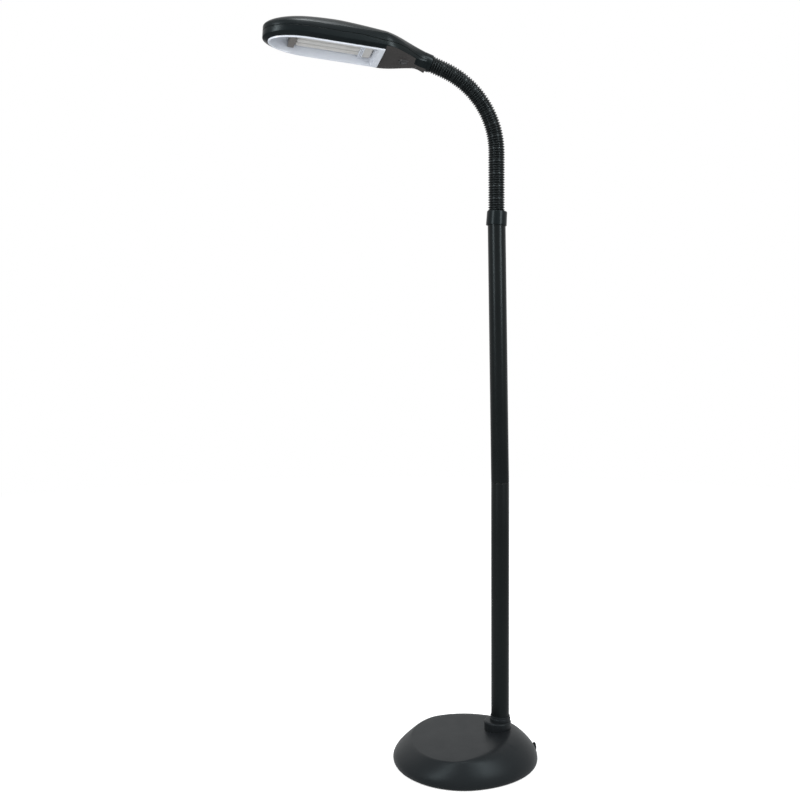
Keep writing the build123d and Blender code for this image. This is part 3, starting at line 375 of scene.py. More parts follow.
def grid(rows, closed=False, caps=False):
    """Points and faces of a grid, from rows of points; closed joins each row's ends."""
    width = len(rows[0])
    points = [point for row in rows for point in row]
    last = width if closed else width - 1
    faces = []
    for i in range(len(rows) - 1):
        for j in range(last):
            k = (j + 1) % width
            faces.append((i * width + j, i * width + k, (i + 1) * width + k, (i + 1) * width + j))
    if caps:
        faces.append(tuple(range(width))[::-1])
        faces.append(last_row_face(rows))
    return points, faces


def last_row_face(rows):
    """The face that closes a grid at its last row."""
    width = len(rows[0])
    return tuple(range((len(rows) - 1) * width, len(rows) * width))


def curve(start, control, end, share):
    """A point of the quadratic curve from start to end."""
    return start.lerp(control, share).lerp(control.lerp(end, share), share)


def rounded(corners, steps=4):
    """A polyline with rounded corners: each corner is its coordinates and then a radius."""
    line = [Vector(corners[0][:-1])]
    for before, here, after in zip(corners, corners[1:], corners[2:]):
        point = Vector(here[:-1])
        back = Vector(before[:-1]) - point
        ahead = Vector(after[:-1]) - point
        reach = min(here[-1], back.length * HALF_AN_EDGE, ahead.length * HALF_AN_EDGE)
        start = point + back.normalized() * reach if back.length > TINY else point
        end = point + ahead.normalized() * reach if ahead.length > TINY else point
        line += [curve(start, point, end, step / steps) for step in range(steps + 1)]
    line.append(Vector(corners[-1][:-1]))
    return line


def ring_round(centre, axis, side, radius, around):
    """Ring of points round an axis."""
    other = axis.cross(side)
    turns = [2 * math.pi * i / around for i in range(around)]
    return [centre + (side * math.cos(t) + other * math.sin(t)) * radius for t in turns]


def revolve(profile, centre, axis, side, around=72):
    """Rings of a profile (radius, height) turned about an axis."""
    return [ring_round(centre + axis * height, axis, side, radius, around)
            for radius, height in profile]


# =============================================================================
# Lamp head shells
# =============================================================================

OPENING_LENGTH = 216.0
OPENING_HALF = 35.5
OPENING_TIP = 75.0
SHELL_BULGE = 10.5
RIM_BULGE = 2.0
SHELL_HALF = OPENING_HALF + SHELL_BULGE
SHELL_WALL = 1.8
TIP_START = OPENING_LENGTH - OPENING_TIP
TIP_LENGTH = OPENING_TIP + SHELL_BULGE
SHELL_TIP = OPENING_LENGTH + SHELL_BULGE
SHELL_END = 86.5
NECK_TAPER = 2.4
NECK_HALF = 17.0
SOLE_LEVEL_END = 44.0
STUB_SOLE = -13.0
STUB_CROWN = 24.0
EDGE_MID, EDGE_REAR, EDGE_END, EDGE_START = 3.8, 0.5, -2.0, 60.0
PARTING_HEIGHT, PARTING_REAR, PARTING_END = 16.5, 12.0, 1.0
BAND_TOP, BAND_TOP_TIP, BAND_TOP_NECK, BAND_LEAN = 28.5, 26.0, 10.0, 2.5
BAND_ROUND, BAND_STEP_IN, BAND_STEP_UP = 0.3, 0.97, 0.7
CROWN_HEIGHT, CROWN_REAR, CROWN_PEAK = 54.4, 44.9, 92.0
CROWN_FALL, CROWN_DROP = 1.5, 3                   # powers, from the peak back and at the neck
CROWN_TIP_ALONG, CROWN_TIP_DOWN = 1.8, 0.55       # powers of the nose's curve
CROWN_LEAST = 0.2
CROWN_STEPS = 19
LOW_HANDLE_OUT, LOW_HANDLE_UP, HIGH_HANDLE_OUT = 0.86, 0.5, 0.66
SOLE_INSET, SOLE_INSET_END = 20.0, 8.0
SOLE_GRAIN_AND_LIGHT_SLOPE = -0.93    # faces that look down more than this have the underside's grain, and its lighter grey, which is painted light
EDGE_ROUND, SOLE_ROUND = 1.2, 0.8
RIM_TURN_UP = 2.0
SEAM_GAP, SEAM_LIP, SEAM_ROUND = 0.4, 1.2, 0.5
REAR_STEPS, STRAIGHT_STEPS, TIP_DEGREES = 26, 16, 3
JUST_BEHIND = -0.02         # last section of the closed underside, before the opening's step


def blend(start, end, share):
    return start + (end - start) * min(max(share, 0), 1)


def neck_share(x):
    """Where a place lies from the level underside's end, at 0, to the shells' neck end, at 1."""
    return (-x - SOLE_LEVEL_END) / (SHELL_END - SOLE_LEVEL_END)


def nose_share(x):
    """Where a place lies from the crown's peak, at 0, to the shells' tip, at 1."""
    return (x - CROWN_PEAK) / (SHELL_TIP - CROWN_PEAK)


def half_width(x):
    if x > TIP_START:
        return SHELL_HALF * math.sqrt(max(1 - ((x - TIP_START) / TIP_LENGTH) ** 2, 0))
    if x < 0:
        taper = max(1 - (x / SHELL_END) ** 2, 0) ** NECK_TAPER
        return NECK_HALF + (SHELL_HALF - NECK_HALF) * taper
    return SHELL_HALF


def sole_height(x):
    return blend(0, STUB_SOLE, neck_share(x))


def edge_height(x):
    """Height at which the side wall meets the rim or the underside's chamfer."""
    if x < -SOLE_LEVEL_END:
        return blend(EDGE_REAR, EDGE_END, neck_share(x))
    share = min(max(EDGE_START - x, 0) / (EDGE_START + SOLE_LEVEL_END), 1)
    return blend(EDGE_MID, EDGE_REAR, share ** 2)


def parting_height(x):
    if x < -SOLE_LEVEL_END:
        return blend(PARTING_REAR, PARTING_END, neck_share(x))
    return blend(PARTING_REAR, PARTING_HEIGHT, x / SOLE_LEVEL_END)


def band_height(x):
    """Height of the upright band's upper edge, where the crown starts."""
    if x > CROWN_PEAK:
        return blend(BAND_TOP, BAND_TOP_TIP, nose_share(x))
    return blend(BAND_TOP, BAND_TOP_NECK, -x / SHELL_END)


def crown_height(x):
    if x > CROWN_PEAK:
        nose = max(1 - nose_share(x) ** CROWN_TIP_ALONG, 0) ** CROWN_TIP_DOWN
        return BAND_TOP_TIP + (CROWN_HEIGHT - BAND_TOP_TIP) * nose
    if x > 0:
        return CROWN_HEIGHT - (CROWN_HEIGHT - CROWN_REAR) * (1 - x / CROWN_PEAK) ** CROWN_FALL
    slope = CROWN_FALL * (CROWN_HEIGHT - CROWN_REAR) / CROWN_PEAK
    rest = CROWN_REAR - STUB_CROWN - slope * SHELL_END
    return CROWN_REAR + slope * x - rest * (-x / SHELL_END) ** CROWN_DROP


def sole_inset(x):
    """Width of the rim or chamfer between the side wall and the underside."""
    if x < -SOLE_LEVEL_END:
        return blend(SOLE_INSET, SOLE_INSET_END, neck_share(x))
    return blend(SHELL_BULGE - RIM_BULGE, SOLE_INSET, -x / SOLE_LEVEL_END)


def head_places():
    """Places along the head where its section is worked out, close together where it turns."""
    rear = [-SHELL_END * (1 - step / REAR_STEPS) for step in range(REAR_STEPS)] + [JUST_BEHIND]
    straight = [TIP_START * i / STRAIGHT_STEPS for i in range(STRAIGHT_STEPS)]
    turns = [math.radians(a) for a in range(0, 90, TIP_DEGREES)]
    tip = [TIP_START + TIP_LENGTH * math.sin(turn) for turn in turns]
    return rear + straight + tip + [SHELL_TIP]


def top_section(x):
    """One side of the top shell's outer section, from the seam up to the crown's middle."""
    width = half_width(x)
    seam = parting_height(x) + SEAM_GAP
    band = band_height(x)
    top = width * (1 - BAND_LEAN / SHELL_HALF)
    crown = max(crown_height(x), band + CROWN_LEAST)
    side = rounded([(width - SEAM_LIP, seam, 0), (width, seam, SEAM_ROUND),
                    (top, band, BAND_ROUND), (top * BAND_STEP_IN, band + BAND_STEP_UP, 0)], 3)[:-1]
    low = Vector((top, band))
    first = Vector((top * LOW_HANDLE_OUT, band + (crown - band) * LOW_HANDLE_UP))
    second = Vector((top * HIGH_HANDLE_OUT, crown))
    peak = Vector((0, crown))
    for step in range(1, CROWN_STEPS + 1):
        t = step / CROWN_STEPS
        side.append(low * (1 - t) ** 3 + first * 3 * t * (1 - t) ** 2
                    + second * 3 * t * t * (1 - t) + peak * t ** 3)
    return side


def make_top_shell():
    rows = []
    for x in head_places():
        half = top_section(x)
        far = [from_head(x, -p.x, p.y) for p in half[-2::-1]]
        rows.append([from_head(x, p.x, p.y) for p in half] + far)
    points, faces = grid(rows)
    faces.append(tuple(range(len(rows[0]))))
    shell = make_mesh("top_shell", points, faces, "shell", "head", ["head_top_shell"],
                      SHARP_SHELL)
    thicken(shell, SHELL_WALL)


def lower_profile(x):
    """Points (inset from the outline, height) of the lower shell, from seam to middle."""
    inset = sole_inset(x)
    sole = sole_height(x)
    seam = parting_height(x) - SEAM_GAP
    line = rounded([(SEAM_LIP, seam, 0), (0, seam, SEAM_ROUND), (0, edge_height(x), EDGE_ROUND),
                    (inset, sole, SOLE_ROUND), (inset + RIM_BULGE, sole, 0)])
    if x >= 0:
        return line + [Vector((inset + RIM_BULGE, sole + RIM_TURN_UP))]
    return line + [Vector((half_width(x), sole))]


def lower_section(x):
    """One side of the lower shell's section, as places in the head's frame."""
    turn = math.asin(min(max((x - TIP_START) / TIP_LENGTH, 0), 1))
    section = []
    for inset, height in lower_profile(x):
        if x > TIP_START:
            place = TIP_START + (TIP_LENGTH - inset) * math.sin(turn)
            across = (SHELL_HALF - inset) * math.cos(turn)
        else:
            place = x
            across = half_width(x) - inset
        section.append((place, across, height))
    return section


def make_lower_shell():
    """Outer wall with its rim, and the closed underside behind the opening."""
    places = head_places()
    rows = []
    for x in places:
        half = lower_section(x)
        rows.append([from_head(*p) for p in half]
                    + [from_head(p[0], -p[1], p[2]) for p in half[::-1]])
    width = len(rows[0])
    middle = width // 2
    first_open = places.index(0.0)
    points, faces = grid(rows)
    kept = []
    for face in faces:
        row, column = divmod(face[0], width)
        over_opening = row >= first_open and column == middle - 1
        step_up = row == first_open - 1 and middle - 2 <= column <= middle
        if not over_opening and not step_up:
            kept.append(face)
    kept.append(tuple(range(width)))
    shell = make_mesh("lower_shell", points, kept, "shell", "head", ["head_lower_shell"],
                      SHARP_SHELL)
    # faces behind the opening that look down get the underside's material: a real rougher grain, and
    # a lighter grey that is painted light
    shell.data.materials.append(MATERIALS["sole"])
    for polygon in shell.data.polygons:
        place = (polygon.center * MM_PER_METRE - HEAD_ORIGIN).dot(HEAD_X)
        if polygon.normal.dot(HEAD_Z) < SOLE_GRAIN_AND_LIGHT_SLOPE and place < 0:
            polygon.material_index = 1
    thicken(shell, SHELL_WALL)


# =============================================================================
# Base cover
# =============================================================================

BASE_FRONT, BASE_REAR, BASE_WIDTH, BASE_WIDEST = 211.0, 70.0, 266.0, 84.0
FACET_FRONT, FACET_REAR, FACET_WIDTH, FACET_WIDEST = 177.0, 26.0, 222.0, 95.0
FACET_HEIGHT = 59.0
FACET_SLOPE = math.radians(6.3)
FACET_RING = 20             # inset of the ring of points inside the facet's edge
FOOT_RADIUS, FOOT_TUCK, FOOT_LOWEST = 9.0, 5.0, 1.0
COVER_WALL = 2.2
EDGE_SHARP, EDGE_SOFT = 2.2, 16.0
EDGE_TURN, EDGE_SPAN = 0.35, 1.1    # cosine of the angle where the edge softens, and over how much
EDGE_WALK = 1.2             # the edge's rounding reaches this much further down than inwards
FLANK_RISE = 0.42
BASE_AROUND, FLANK_STEPS, FLANK_ROWS, CORNER_STEPS, FOOT_STEPS = 180, 32, 16, 8, 6


def ease(share):
    """A share with a soft start and end."""
    share = min(max(share, 0), 1)
    return share * share * (3 - 2 * share)


def egg(turn, front, rear, widest, width, inset):
    """Point of an outline made of two half ellipses; turn 0 is the front."""
    along = math.cos(turn)
    reach = front - inset - widest if along > 0 else widest + rear - inset
    return widest + reach * along, (width / 2 - inset) * math.sin(turn)


def facet_point(turn, inset):
    """Point of the sloping facet's outline."""
    x, y = egg(turn, FACET_FRONT, FACET_REAR, FACET_WIDEST, FACET_WIDTH, inset)
    return Vector((x * math.cos(FACET_SLOPE), y, FACET_HEIGHT - x * math.sin(FACET_SLOPE)))


def foot_point(turn, inset, height):
    """Point of the cover's outline at the floor."""
    x, y = egg(turn, BASE_FRONT, BASE_REAR, BASE_WIDEST, BASE_WIDTH, inset)
    return Vector((x, y, height))


def edge_radius(turn):
    """The facet's edge is crisp at the front and soft towards the pole."""
    return EDGE_SHARP + (EDGE_SOFT - EDGE_SHARP) * ease((EDGE_TURN - math.cos(turn)) / EDGE_SPAN)


def cover_line(turn):
    """The cover's surface at one angle, from the facet over the flank to the lower edge."""
    corner = facet_point(turn, 0)
    widest = foot_point(turn, 0, FOOT_RADIUS)
    control = widest + Vector((0, 0, FLANK_RISE * (corner.z - widest.z)))
    inner = facet_point(turn, FACET_RING)
    radius = edge_radius(turn)
    flank = [curve(corner, control, widest, step / FLANK_STEPS) for step in range(FLANK_STEPS + 1)]
    start = corner + (inner - corner).normalized() * radius
    walked = 0.0
    index = 0
    while walked < radius * EDGE_WALK:
        walked += (flank[index + 1] - flank[index]).length
        index += 1
    line = [inner]
    for step in range(CORNER_STEPS + 1):
        line.append(curve(start, corner, flank[index], step / CORNER_STEPS))
    stride = (FLANK_STEPS - index) / FLANK_ROWS
    for step in range(1, FLANK_ROWS + 1):
        place = index + stride * step
        low = min(int(place), FLANK_STEPS - 1)
        line.append(flank[low].lerp(flank[low + 1], place - low))
    for step in range(1, FOOT_STEPS + 1):
        roll = math.pi / 2 * step / FOOT_STEPS
        height = FOOT_RADIUS - (FOOT_RADIUS - FOOT_LOWEST) * math.sin(roll)
        line.append(foot_point(turn, FOOT_TUCK * (1 - math.cos(roll)), height))
    return line


def make_base_cover():
    lines = [cover_line(2 * math.pi * i / BASE_AROUND) for i in range(BASE_AROUND)]
    rings = [list(ring) for ring in zip(*lines)]
    points, faces = grid(rings, closed=True)
    faces.append(tuple(range(BASE_AROUND))[::-1])
    cover = make_mesh("cover", points, faces, "base", "stand", ["base_cover"], SHARP_SOFT)
    thicken(cover, COVER_WALL)


# =============================================================================
# Gooseneck
# =============================================================================

RIB_PITCH = 4.9
RIBS_PER_LINK = 5
LINK_COUNT = 14
LINK_PITCH = RIB_PITCH * RIBS_PER_LINK
RIB_RADIUS = 16.25
GROOVE_RADIUS = 13.6
HOSE_TAIL = 10.0        # plain length inside the collar and inside the head's neck
SLIT_HALF = 1.1
FOLD_RADIUS = 13.4
FOLD_REACH = 3.0
HOSE_AROUND, RIB_STEPS, FOLD_HALF_STEPS = 64, 12, 4


def rib_profile(start):
    """Rounded profile of one rib as (place along the neck, radius)."""
    line = []
    for step in range(RIB_STEPS):
        share = step / RIB_STEPS
        lift = 0.5 - 0.5 * math.cos(2 * math.pi * share)
        radius = GROOVE_RADIUS + (RIB_RADIUS - GROOVE_RADIUS) * lift
        line.append((start + share * RIB_PITCH, radius))
    return line


def neck_ring(length, radius):
    """Ring of points round the gooseneck's centre line; a length under 0 is in the collar."""
    if length < 0:
        centre, ahead = Vector((NECK_SHIFT, 0, COLLAR_TOP + length)), UP
    else:
        centre, ahead = along_neck(length)
    return ring_round(centre, ahead, SIDE, radius, HOSE_AROUND)


def link_body(number):
    if number == 1:
        return "stand"
    if number == LINK_COUNT:
        return "head"
    return "link_%02d" % number


def make_hose_link(number):
    start = (number - 1) * LINK_PITCH
    end = start + LINK_PITCH
    profile = []
    for index in range(RIBS_PER_LINK):
        profile += rib_profile(start + index * RIB_PITCH)
    profile.append((end, GROOVE_RADIUS))
    first = start if number == 1 else start + SLIT_HALF
    last = end if number == LINK_COUNT else end - SLIT_HALF
    profile = [(place, radius) for place, radius in profile if first <= place <= last]
    if number == 1:
        profile.insert(0, (-HOSE_TAIL, GROOVE_RADIUS))
    if number == LINK_COUNT:
        profile.append((end + HOSE_TAIL, GROOVE_RADIUS))
    rings = [neck_ring(place, radius) for place, radius in profile]
    make_mesh("hose_%02d" % number, *grid(rings, closed=True, caps=True), "hose",
              link_body(number), ["gooseneck_%02d" % number], SHARP_HOSE)


def make_hose_fold(number):
    """Fold of the hose in the slit at a knuckle: a zone of a sphere, so it fits at any bend."""
    centre, ahead = along_neck(number * LINK_PITCH)
    rings = []
    for step in range(2 * FOLD_HALF_STEPS + 1):
        offset = FOLD_REACH * (step / FOLD_HALF_STEPS - 1)
        radius = math.sqrt(FOLD_RADIUS ** 2 - offset ** 2)
        rings.append(ring_round(centre + ahead * offset, ahead, SIDE, radius, HOSE_AROUND))
    make_mesh("hose_fold_%02d" % number, *grid(rings, closed=True), "hose", link_body(number),
              (), SHARP_HOSE)


def make_hose():
    for number in range(1, LINK_COUNT + 1):
        make_hose_link(number)
    for number in range(1, LINK_COUNT):
        make_hose_fold(number)


# =============================================================================
# Collar, neck mouth and pole
# =============================================================================

COLLAR_BOTTOM = 1042.0
COLLAR_RADIUS = 20.3
COLLAR_TAPER = 0.6
COLLAR_ROOF = 8.8
COLLAR_ROOM = 1.1
COLLAR_TILT = math.radians(-3.4)
COLLAR_INSIDE = 12          # how far up the collar's inner wall is drawn
COLLAR_LIP, COLLAR_FOOT_ROUND, COLLAR_TOP_ROUND = 0.4, 0.8, 3.0
COLLAR_MOUTH, COLLAR_MOUTH_DEEP, COLLAR_MOUTH_ROUND, COLLAR_MOUTH_DEPTH = 1.6, 1.4, 0.6, 5
POLE_RADIUS = 17.5
POLE_FOOT = 62.0
POLE_EDGE_IN, POLE_EDGE_ROUND = 1.2, 0.9
JOINT_BELOW, JOINT_ABOVE = -0.25, 0.5       # the tubes' edges at the joint line
UPPER_LENGTH = 519.0
POLE_AROUND = 96
SOCKET_RADIUS, SOCKET_TOP, SOCKET_SHIFT = 26.0, 73.5, 5.0
SOCKET_DEPTH, SOCKET_ROUND, SOCKET_HOLE, SOCKET_SUNK = 20, 3.2, 10, 1.5
FERRULE_RADIUS, FERRULE_STEP, FERRULE_RISE = 18.9, 1.0, 10.0
FERRULE_STEP_ROUND, FERRULE_NOTCH, FERRULE_NOTCH_ROUND, FERRULE_TOP_ROUND = 1.0, 0.4, 0.3, 0.8
FERRULE_FIT = 0.1
STUB_RADIUS = 16.9
MOUTH_FIT, MOUTH_DEPTH, MOUTH_INNER_ROUND, MOUTH_OUTER_ROUND, MOUTH_LENGTH = 0.4, 8, 0.5, 1.4, 16


def make_collar():
    middle = (COLLAR_BOTTOM + COLLAR_TOP - COLLAR_ROOF) / 2
    centre = Vector(((middle - JOINT_HEIGHT) * math.tan(POLE_LEAN), 0, middle))
    axis = Vector((math.sin(COLLAR_TILT), 0, math.cos(COLLAR_TILT)))
    low = COLLAR_BOTTOM - middle
    top = COLLAR_TOP - middle
    inner = POLE_RADIUS + COLLAR_ROOM
    profile = rounded([(inner, low + COLLAR_INSIDE, 0), (inner, low, COLLAR_LIP),
                       (COLLAR_RADIUS, low, COLLAR_FOOT_ROUND),
                       (COLLAR_RADIUS - COLLAR_TAPER, top, COLLAR_TOP_ROUND),
                       (GROOVE_RADIUS + COLLAR_MOUTH, top, COLLAR_MOUTH_ROUND),
                       (GROOVE_RADIUS + COLLAR_MOUTH_DEEP, top - COLLAR_MOUTH_DEPTH, 0)], 5)
    rings = revolve(profile, centre, axis, SIDE)
    make_mesh("collar_ring", *grid(rings, closed=True), "shell", "stand", ["collar"],
              SHARP_TURNED)


def make_pole():
    """Two painted tubes that meet in a fine line, their edges rolled in."""
    joint = Vector((0, 0, JOINT_HEIGHT))
    edge = POLE_RADIUS - POLE_EDGE_IN
    low = rounded([(POLE_RADIUS, POLE_FOOT - JOINT_HEIGHT, 0),
                   (POLE_RADIUS, JOINT_BELOW, POLE_EDGE_ROUND), (edge, JOINT_BELOW, 0)])
    lower = revolve(low, joint, UP, SIDE, POLE_AROUND)
    make_mesh("pole_tube_lower", *grid(lower, closed=True), "pole", "stand", ["pole_lower"],
              SHARP_TURNED)
    lean = Vector((math.sin(POLE_LEAN), 0, math.cos(POLE_LEAN)))
    high = rounded([(edge, JOINT_ABOVE, 0), (POLE_RADIUS, JOINT_ABOVE, POLE_EDGE_ROUND),
                    (POLE_RADIUS, UPPER_LENGTH, 0)])
    upper = revolve(high, joint, lean, SIDE, POLE_AROUND)
    make_mesh("pole_tube_upper", *grid(upper, closed=True), "pole", "stand", ["pole_upper"],
              SHARP_TURNED)


def make_socket():
    """Boss on the sloping facet, with the ferrule that closes it round the pole."""
    centre = Vector((SOCKET_SHIFT, 0, SOCKET_TOP))
    profile = rounded([(SOCKET_RADIUS, -SOCKET_DEPTH, 0), (SOCKET_RADIUS, 0, SOCKET_ROUND),
                       (SOCKET_HOLE, 0, 0)], 6)
    rows = revolve(profile, centre, UP, SIDE, POLE_AROUND)
    # the lowest ring follows the facet, a little under it
    rows[0] = [Vector((p.x, p.y, FACET_HEIGHT - p.x * math.tan(FACET_SLOPE) - SOCKET_SUNK))
               for p in rows[0]]
    make_mesh("socket_boss", *grid(rows, closed=True), "base", "stand", ["pole_socket"],
              SHARP_SOFT)
    wide = FERRULE_RADIUS + FERRULE_STEP
    half = FERRULE_RISE / 2
    steps = rounded([(wide, 0, 0), (wide, half, FERRULE_STEP_ROUND),
                     (FERRULE_RADIUS, half + FERRULE_NOTCH, FERRULE_NOTCH_ROUND),
                     (FERRULE_RADIUS, FERRULE_RISE, FERRULE_TOP_ROUND),
                     (POLE_RADIUS + FERRULE_FIT, FERRULE_RISE, 0)])
    rows = revolve(steps, Vector((0, 0, SOCKET_TOP)), UP, SIDE, POLE_AROUND)
    make_mesh("ferrule", *grid(rows, closed=True), "base", "stand", ["pole_ferrule"],
              SHARP_TURNED)


def make_neck_mouth():
    """Round end of the head's neck, round the hose."""
    mouth, axis = along_neck(NECK_LENGTH)
    inner = GROOVE_RADIUS + MOUTH_FIT
    profile = rounded([(inner, MOUTH_DEPTH, 0), (inner, 0, MOUTH_INNER_ROUND),
                       (STUB_RADIUS, 0, MOUTH_OUTER_ROUND), (STUB_RADIUS, MOUTH_LENGTH, 0)], 5)
    rings = revolve(profile, mouth, axis, SIDE)
    make_mesh("neck_mouth", *grid(rings, closed=True), "shell", "head", (), SHARP_TURNED)


# =============================================================================
# Reflector tray and bulb
# =============================================================================

TRAY_LIP = 2.8
TRAY_RIM = 4.0
TRAY_FRAME = 3.0
TRAY_END_LIP = 12.0
TRAY_DRAFT = 5.0
TRAY_CEILING = 23.0
TRAY_EDGE = 0.15
TRAY_CORNER = 3.0
LIP_OUTER, LIP_INNER, LIP_BEVEL, LIP_BEVEL_LOW = 0.8, 0.9, 0.25, 0.2
WALL_SHARES = (0.3, 0.55, 0.78)     # heights of the rings on the tray's sloping wall
CEILING_ROUND = 5.5
CORNER_TURN_STEPS, OPENING_STEPS, OPENING_TIP_STEPS, CEILING_STEPS = 6, 20, 32, 5
TUBE_COUNT = 4
TUBE_RADIUS = 6.2
TUBE_PITCH = 14.0
TUBE_HEIGHT = 16.7
TUBE_START, TUBE_END = 40.0, 164.0
TUBE_AROUND, TUBE_TIP_STEPS = 32, 8
BRIDGE_RADIUS, BRIDGE_SHARE, BRIDGE_AROUND = 3.4, 0.8, 24
BULB_START, BULB_BLOCK_END = 17.3, 34.5
BULB_BASE_HALF = 28.5
BULB_BASE_BELOW, BULB_BASE_ABOVE = 8, 6     # from the tubes' middle
BULB_BLOCK_INSET, BULB_BLOCK_RAISED, BULB_BLOCK_BEVEL = 1.5, 1, 1.5
BULB_RIBS, BULB_RIB_START, BULB_RIB_STEP, BULB_RIB_WIDTH = 3, 33.0, 3.0, 2.4
BULB_RIB_RISE, BULB_RIB_BEVEL = 0.4, 0.8
BEVEL_SEGMENTS = 3


def opening_ring(inset, end, height):
    """Ring along the opening's outline, drawn in by an inset and starting at its neck end."""
    half = OPENING_HALF - inset
    turned = end + TRAY_CORNER
    line = rounded([(end, 0, 0), (end, -half, TRAY_CORNER), (TIP_START, -half, 0)],
                   CORNER_TURN_STEPS)[:-1]
    for step in range(OPENING_STEPS):
        place = TIP_START * step / OPENING_STEPS
        line.append(Vector((place, -half)) if place > turned else line[-1])
    for step in range(OPENING_TIP_STEPS + 1):
        turn = math.pi * (step / OPENING_TIP_STEPS - 0.5)
        place = TIP_START + (OPENING_TIP - inset) * math.cos(turn)
        line.append(Vector((place, half * math.sin(turn))))
    for step in range(OPENING_STEPS):
        place = TIP_START * (1 - (step + 1) / OPENING_STEPS)
        line.append(Vector((place, half)) if place > turned else Vector((turned, half)))
    line += rounded([(turned + TIP_RADIUS, half, 0), (end, half, TRAY_CORNER),
                     (end, TIP_RADIUS, 0)], CORNER_TURN_STEPS)
    return [from_head(p.x, p.y, height) for p in line]


def make_tray():
    edge, low = TRAY_EDGE, -TRAY_LIP
    lip = TRAY_EDGE + TRAY_FRAME
    # each ring: inset of the sides, place of the neck end, height
    profile = [
        (edge, edge, TRAY_RIM),
        (edge, edge, low + LIP_OUTER),
        (edge + LIP_BEVEL, edge + LIP_BEVEL, low + LIP_BEVEL_LOW),
        (edge + LIP_OUTER, edge + LIP_OUTER, low),
        (lip - LIP_INNER, TRAY_END_LIP - LIP_INNER, low),
        (lip - LIP_BEVEL, TRAY_END_LIP - LIP_BEVEL, low + LIP_BEVEL),
        (lip, TRAY_END_LIP, low + LIP_INNER),
    ]
    rise = TRAY_CEILING + TRAY_LIP
    for share in WALL_SHARES:
        drawn = TRAY_DRAFT * share
        profile.append((lip + drawn, TRAY_END_LIP + drawn, low + rise * share))
    for step in range(1, CEILING_STEPS + 1):
        turn = math.pi / 2 * step / CEILING_STEPS
        inward = CEILING_ROUND * (1 - math.cos(turn))
        profile.append((lip + TRAY_DRAFT + inward, TRAY_END_LIP + TRAY_DRAFT + inward,
                        TRAY_CEILING - CEILING_ROUND * (1 - math.sin(turn))))
    rings = [opening_ring(*row) for row in profile]
    points, faces = grid(rings, closed=True)
    faces.append(last_row_face(rings))
    make_mesh("tray", points, faces, "tray", "head", ["reflector_tray"], SHARP_TURNED)


def tube_place(index):
    """How far a tube lies from the head's middle."""
    return (index - (TUBE_COUNT - 1) / 2) * TUBE_PITCH


def tube_rings(index):
    """A tube with a round tip."""
    length = TUBE_END - TUBE_START
    straight = length - TUBE_RADIUS
    profile = [(TUBE_RADIUS, 0), (TUBE_RADIUS, length * 0.5), (TUBE_RADIUS, straight)]
    for step in range(1, TUBE_TIP_STEPS + 1):
        turn = math.pi / 2 * step / TUBE_TIP_STEPS
        profile.append((max(TUBE_RADIUS * math.cos(turn), TIP_RADIUS),
                        straight + TUBE_RADIUS * math.sin(turn)))
    start = from_head(TUBE_START, tube_place(index), TUBE_HEIGHT)
    return revolve(profile, start, HEAD_X, HEAD_Y, TUBE_AROUND)


def bridge_rings(pair):
    """The short bridge that joins a pair of tubes near their tips."""
    start = from_head(TUBE_END - 2 * TUBE_RADIUS, (pair - BRIDGE_SHARE / 2) * TUBE_PITCH,
                      TUBE_HEIGHT)
    profile = [(BRIDGE_RADIUS, 0), (BRIDGE_RADIUS, BRIDGE_SHARE * TUBE_PITCH)]
    return revolve(profile, start, HEAD_Y, HEAD_Z, BRIDGE_AROUND)


def make_bulb():
    points, faces = [], []
    parts = [tube_rings(index) for index in range(TUBE_COUNT)]
    parts += [bridge_rings(pair) for pair in (-1, 1)]
    for rings in parts:
        more, shapes = grid(rings, closed=True, caps=True)
        faces += [tuple(k + len(points) for k in shape) for shape in shapes]
        points += more
    make_mesh("bulb_glass", points, faces, "tube", "head", ["bulb_tubes"], SHARP_SOFT)


def head_box(low, high, bevel, name, material, replaced=()):
    """A box with rounded edges in the head's frame."""
    corners = [from_head(x, y, z) for x in (low[0], high[0])
               for y in (low[1], high[1]) for z in (low[2], high[2])]
    faces = [(0, 1, 3, 2), (4, 6, 7, 5), (0, 4, 5, 1), (2, 3, 7, 6), (0, 2, 6, 4), (1, 5, 7, 3)]
    piece = make_mesh(name, corners, faces, material, "head", replaced, SHARP_HOSE)
    modifier = piece.modifiers.new("edges", "BEVEL")
    modifier.width = bevel / MM_PER_METRE
    modifier.segments = BEVEL_SEGMENTS


def make_bulb_base():
    """The bulb's block and the ribbed collar in front of it."""
    low, high = TUBE_HEIGHT - BULB_BASE_BELOW, TUBE_HEIGHT + BULB_BASE_ABOVE
    half = BULB_BASE_HALF - BULB_BLOCK_INSET
    head_box((BULB_START, -half, low + BULB_BLOCK_RAISED), (BULB_BLOCK_END, half, high),
             BULB_BLOCK_BEVEL, "bulb_block", "ivory", ["bulb_base"])
    for index in range(BULB_RIBS):
        place = BULB_RIB_START + BULB_RIB_STEP * index
        head_box((place, -BULB_BASE_HALF, low),
                 (place + BULB_RIB_WIDTH, BULB_BASE_HALF, high + BULB_RIB_RISE),
                 BULB_RIB_BEVEL, "bulb_rib_%d" % index, "tray")


# =============================================================================
# Support, pins, screws and switch
# =============================================================================

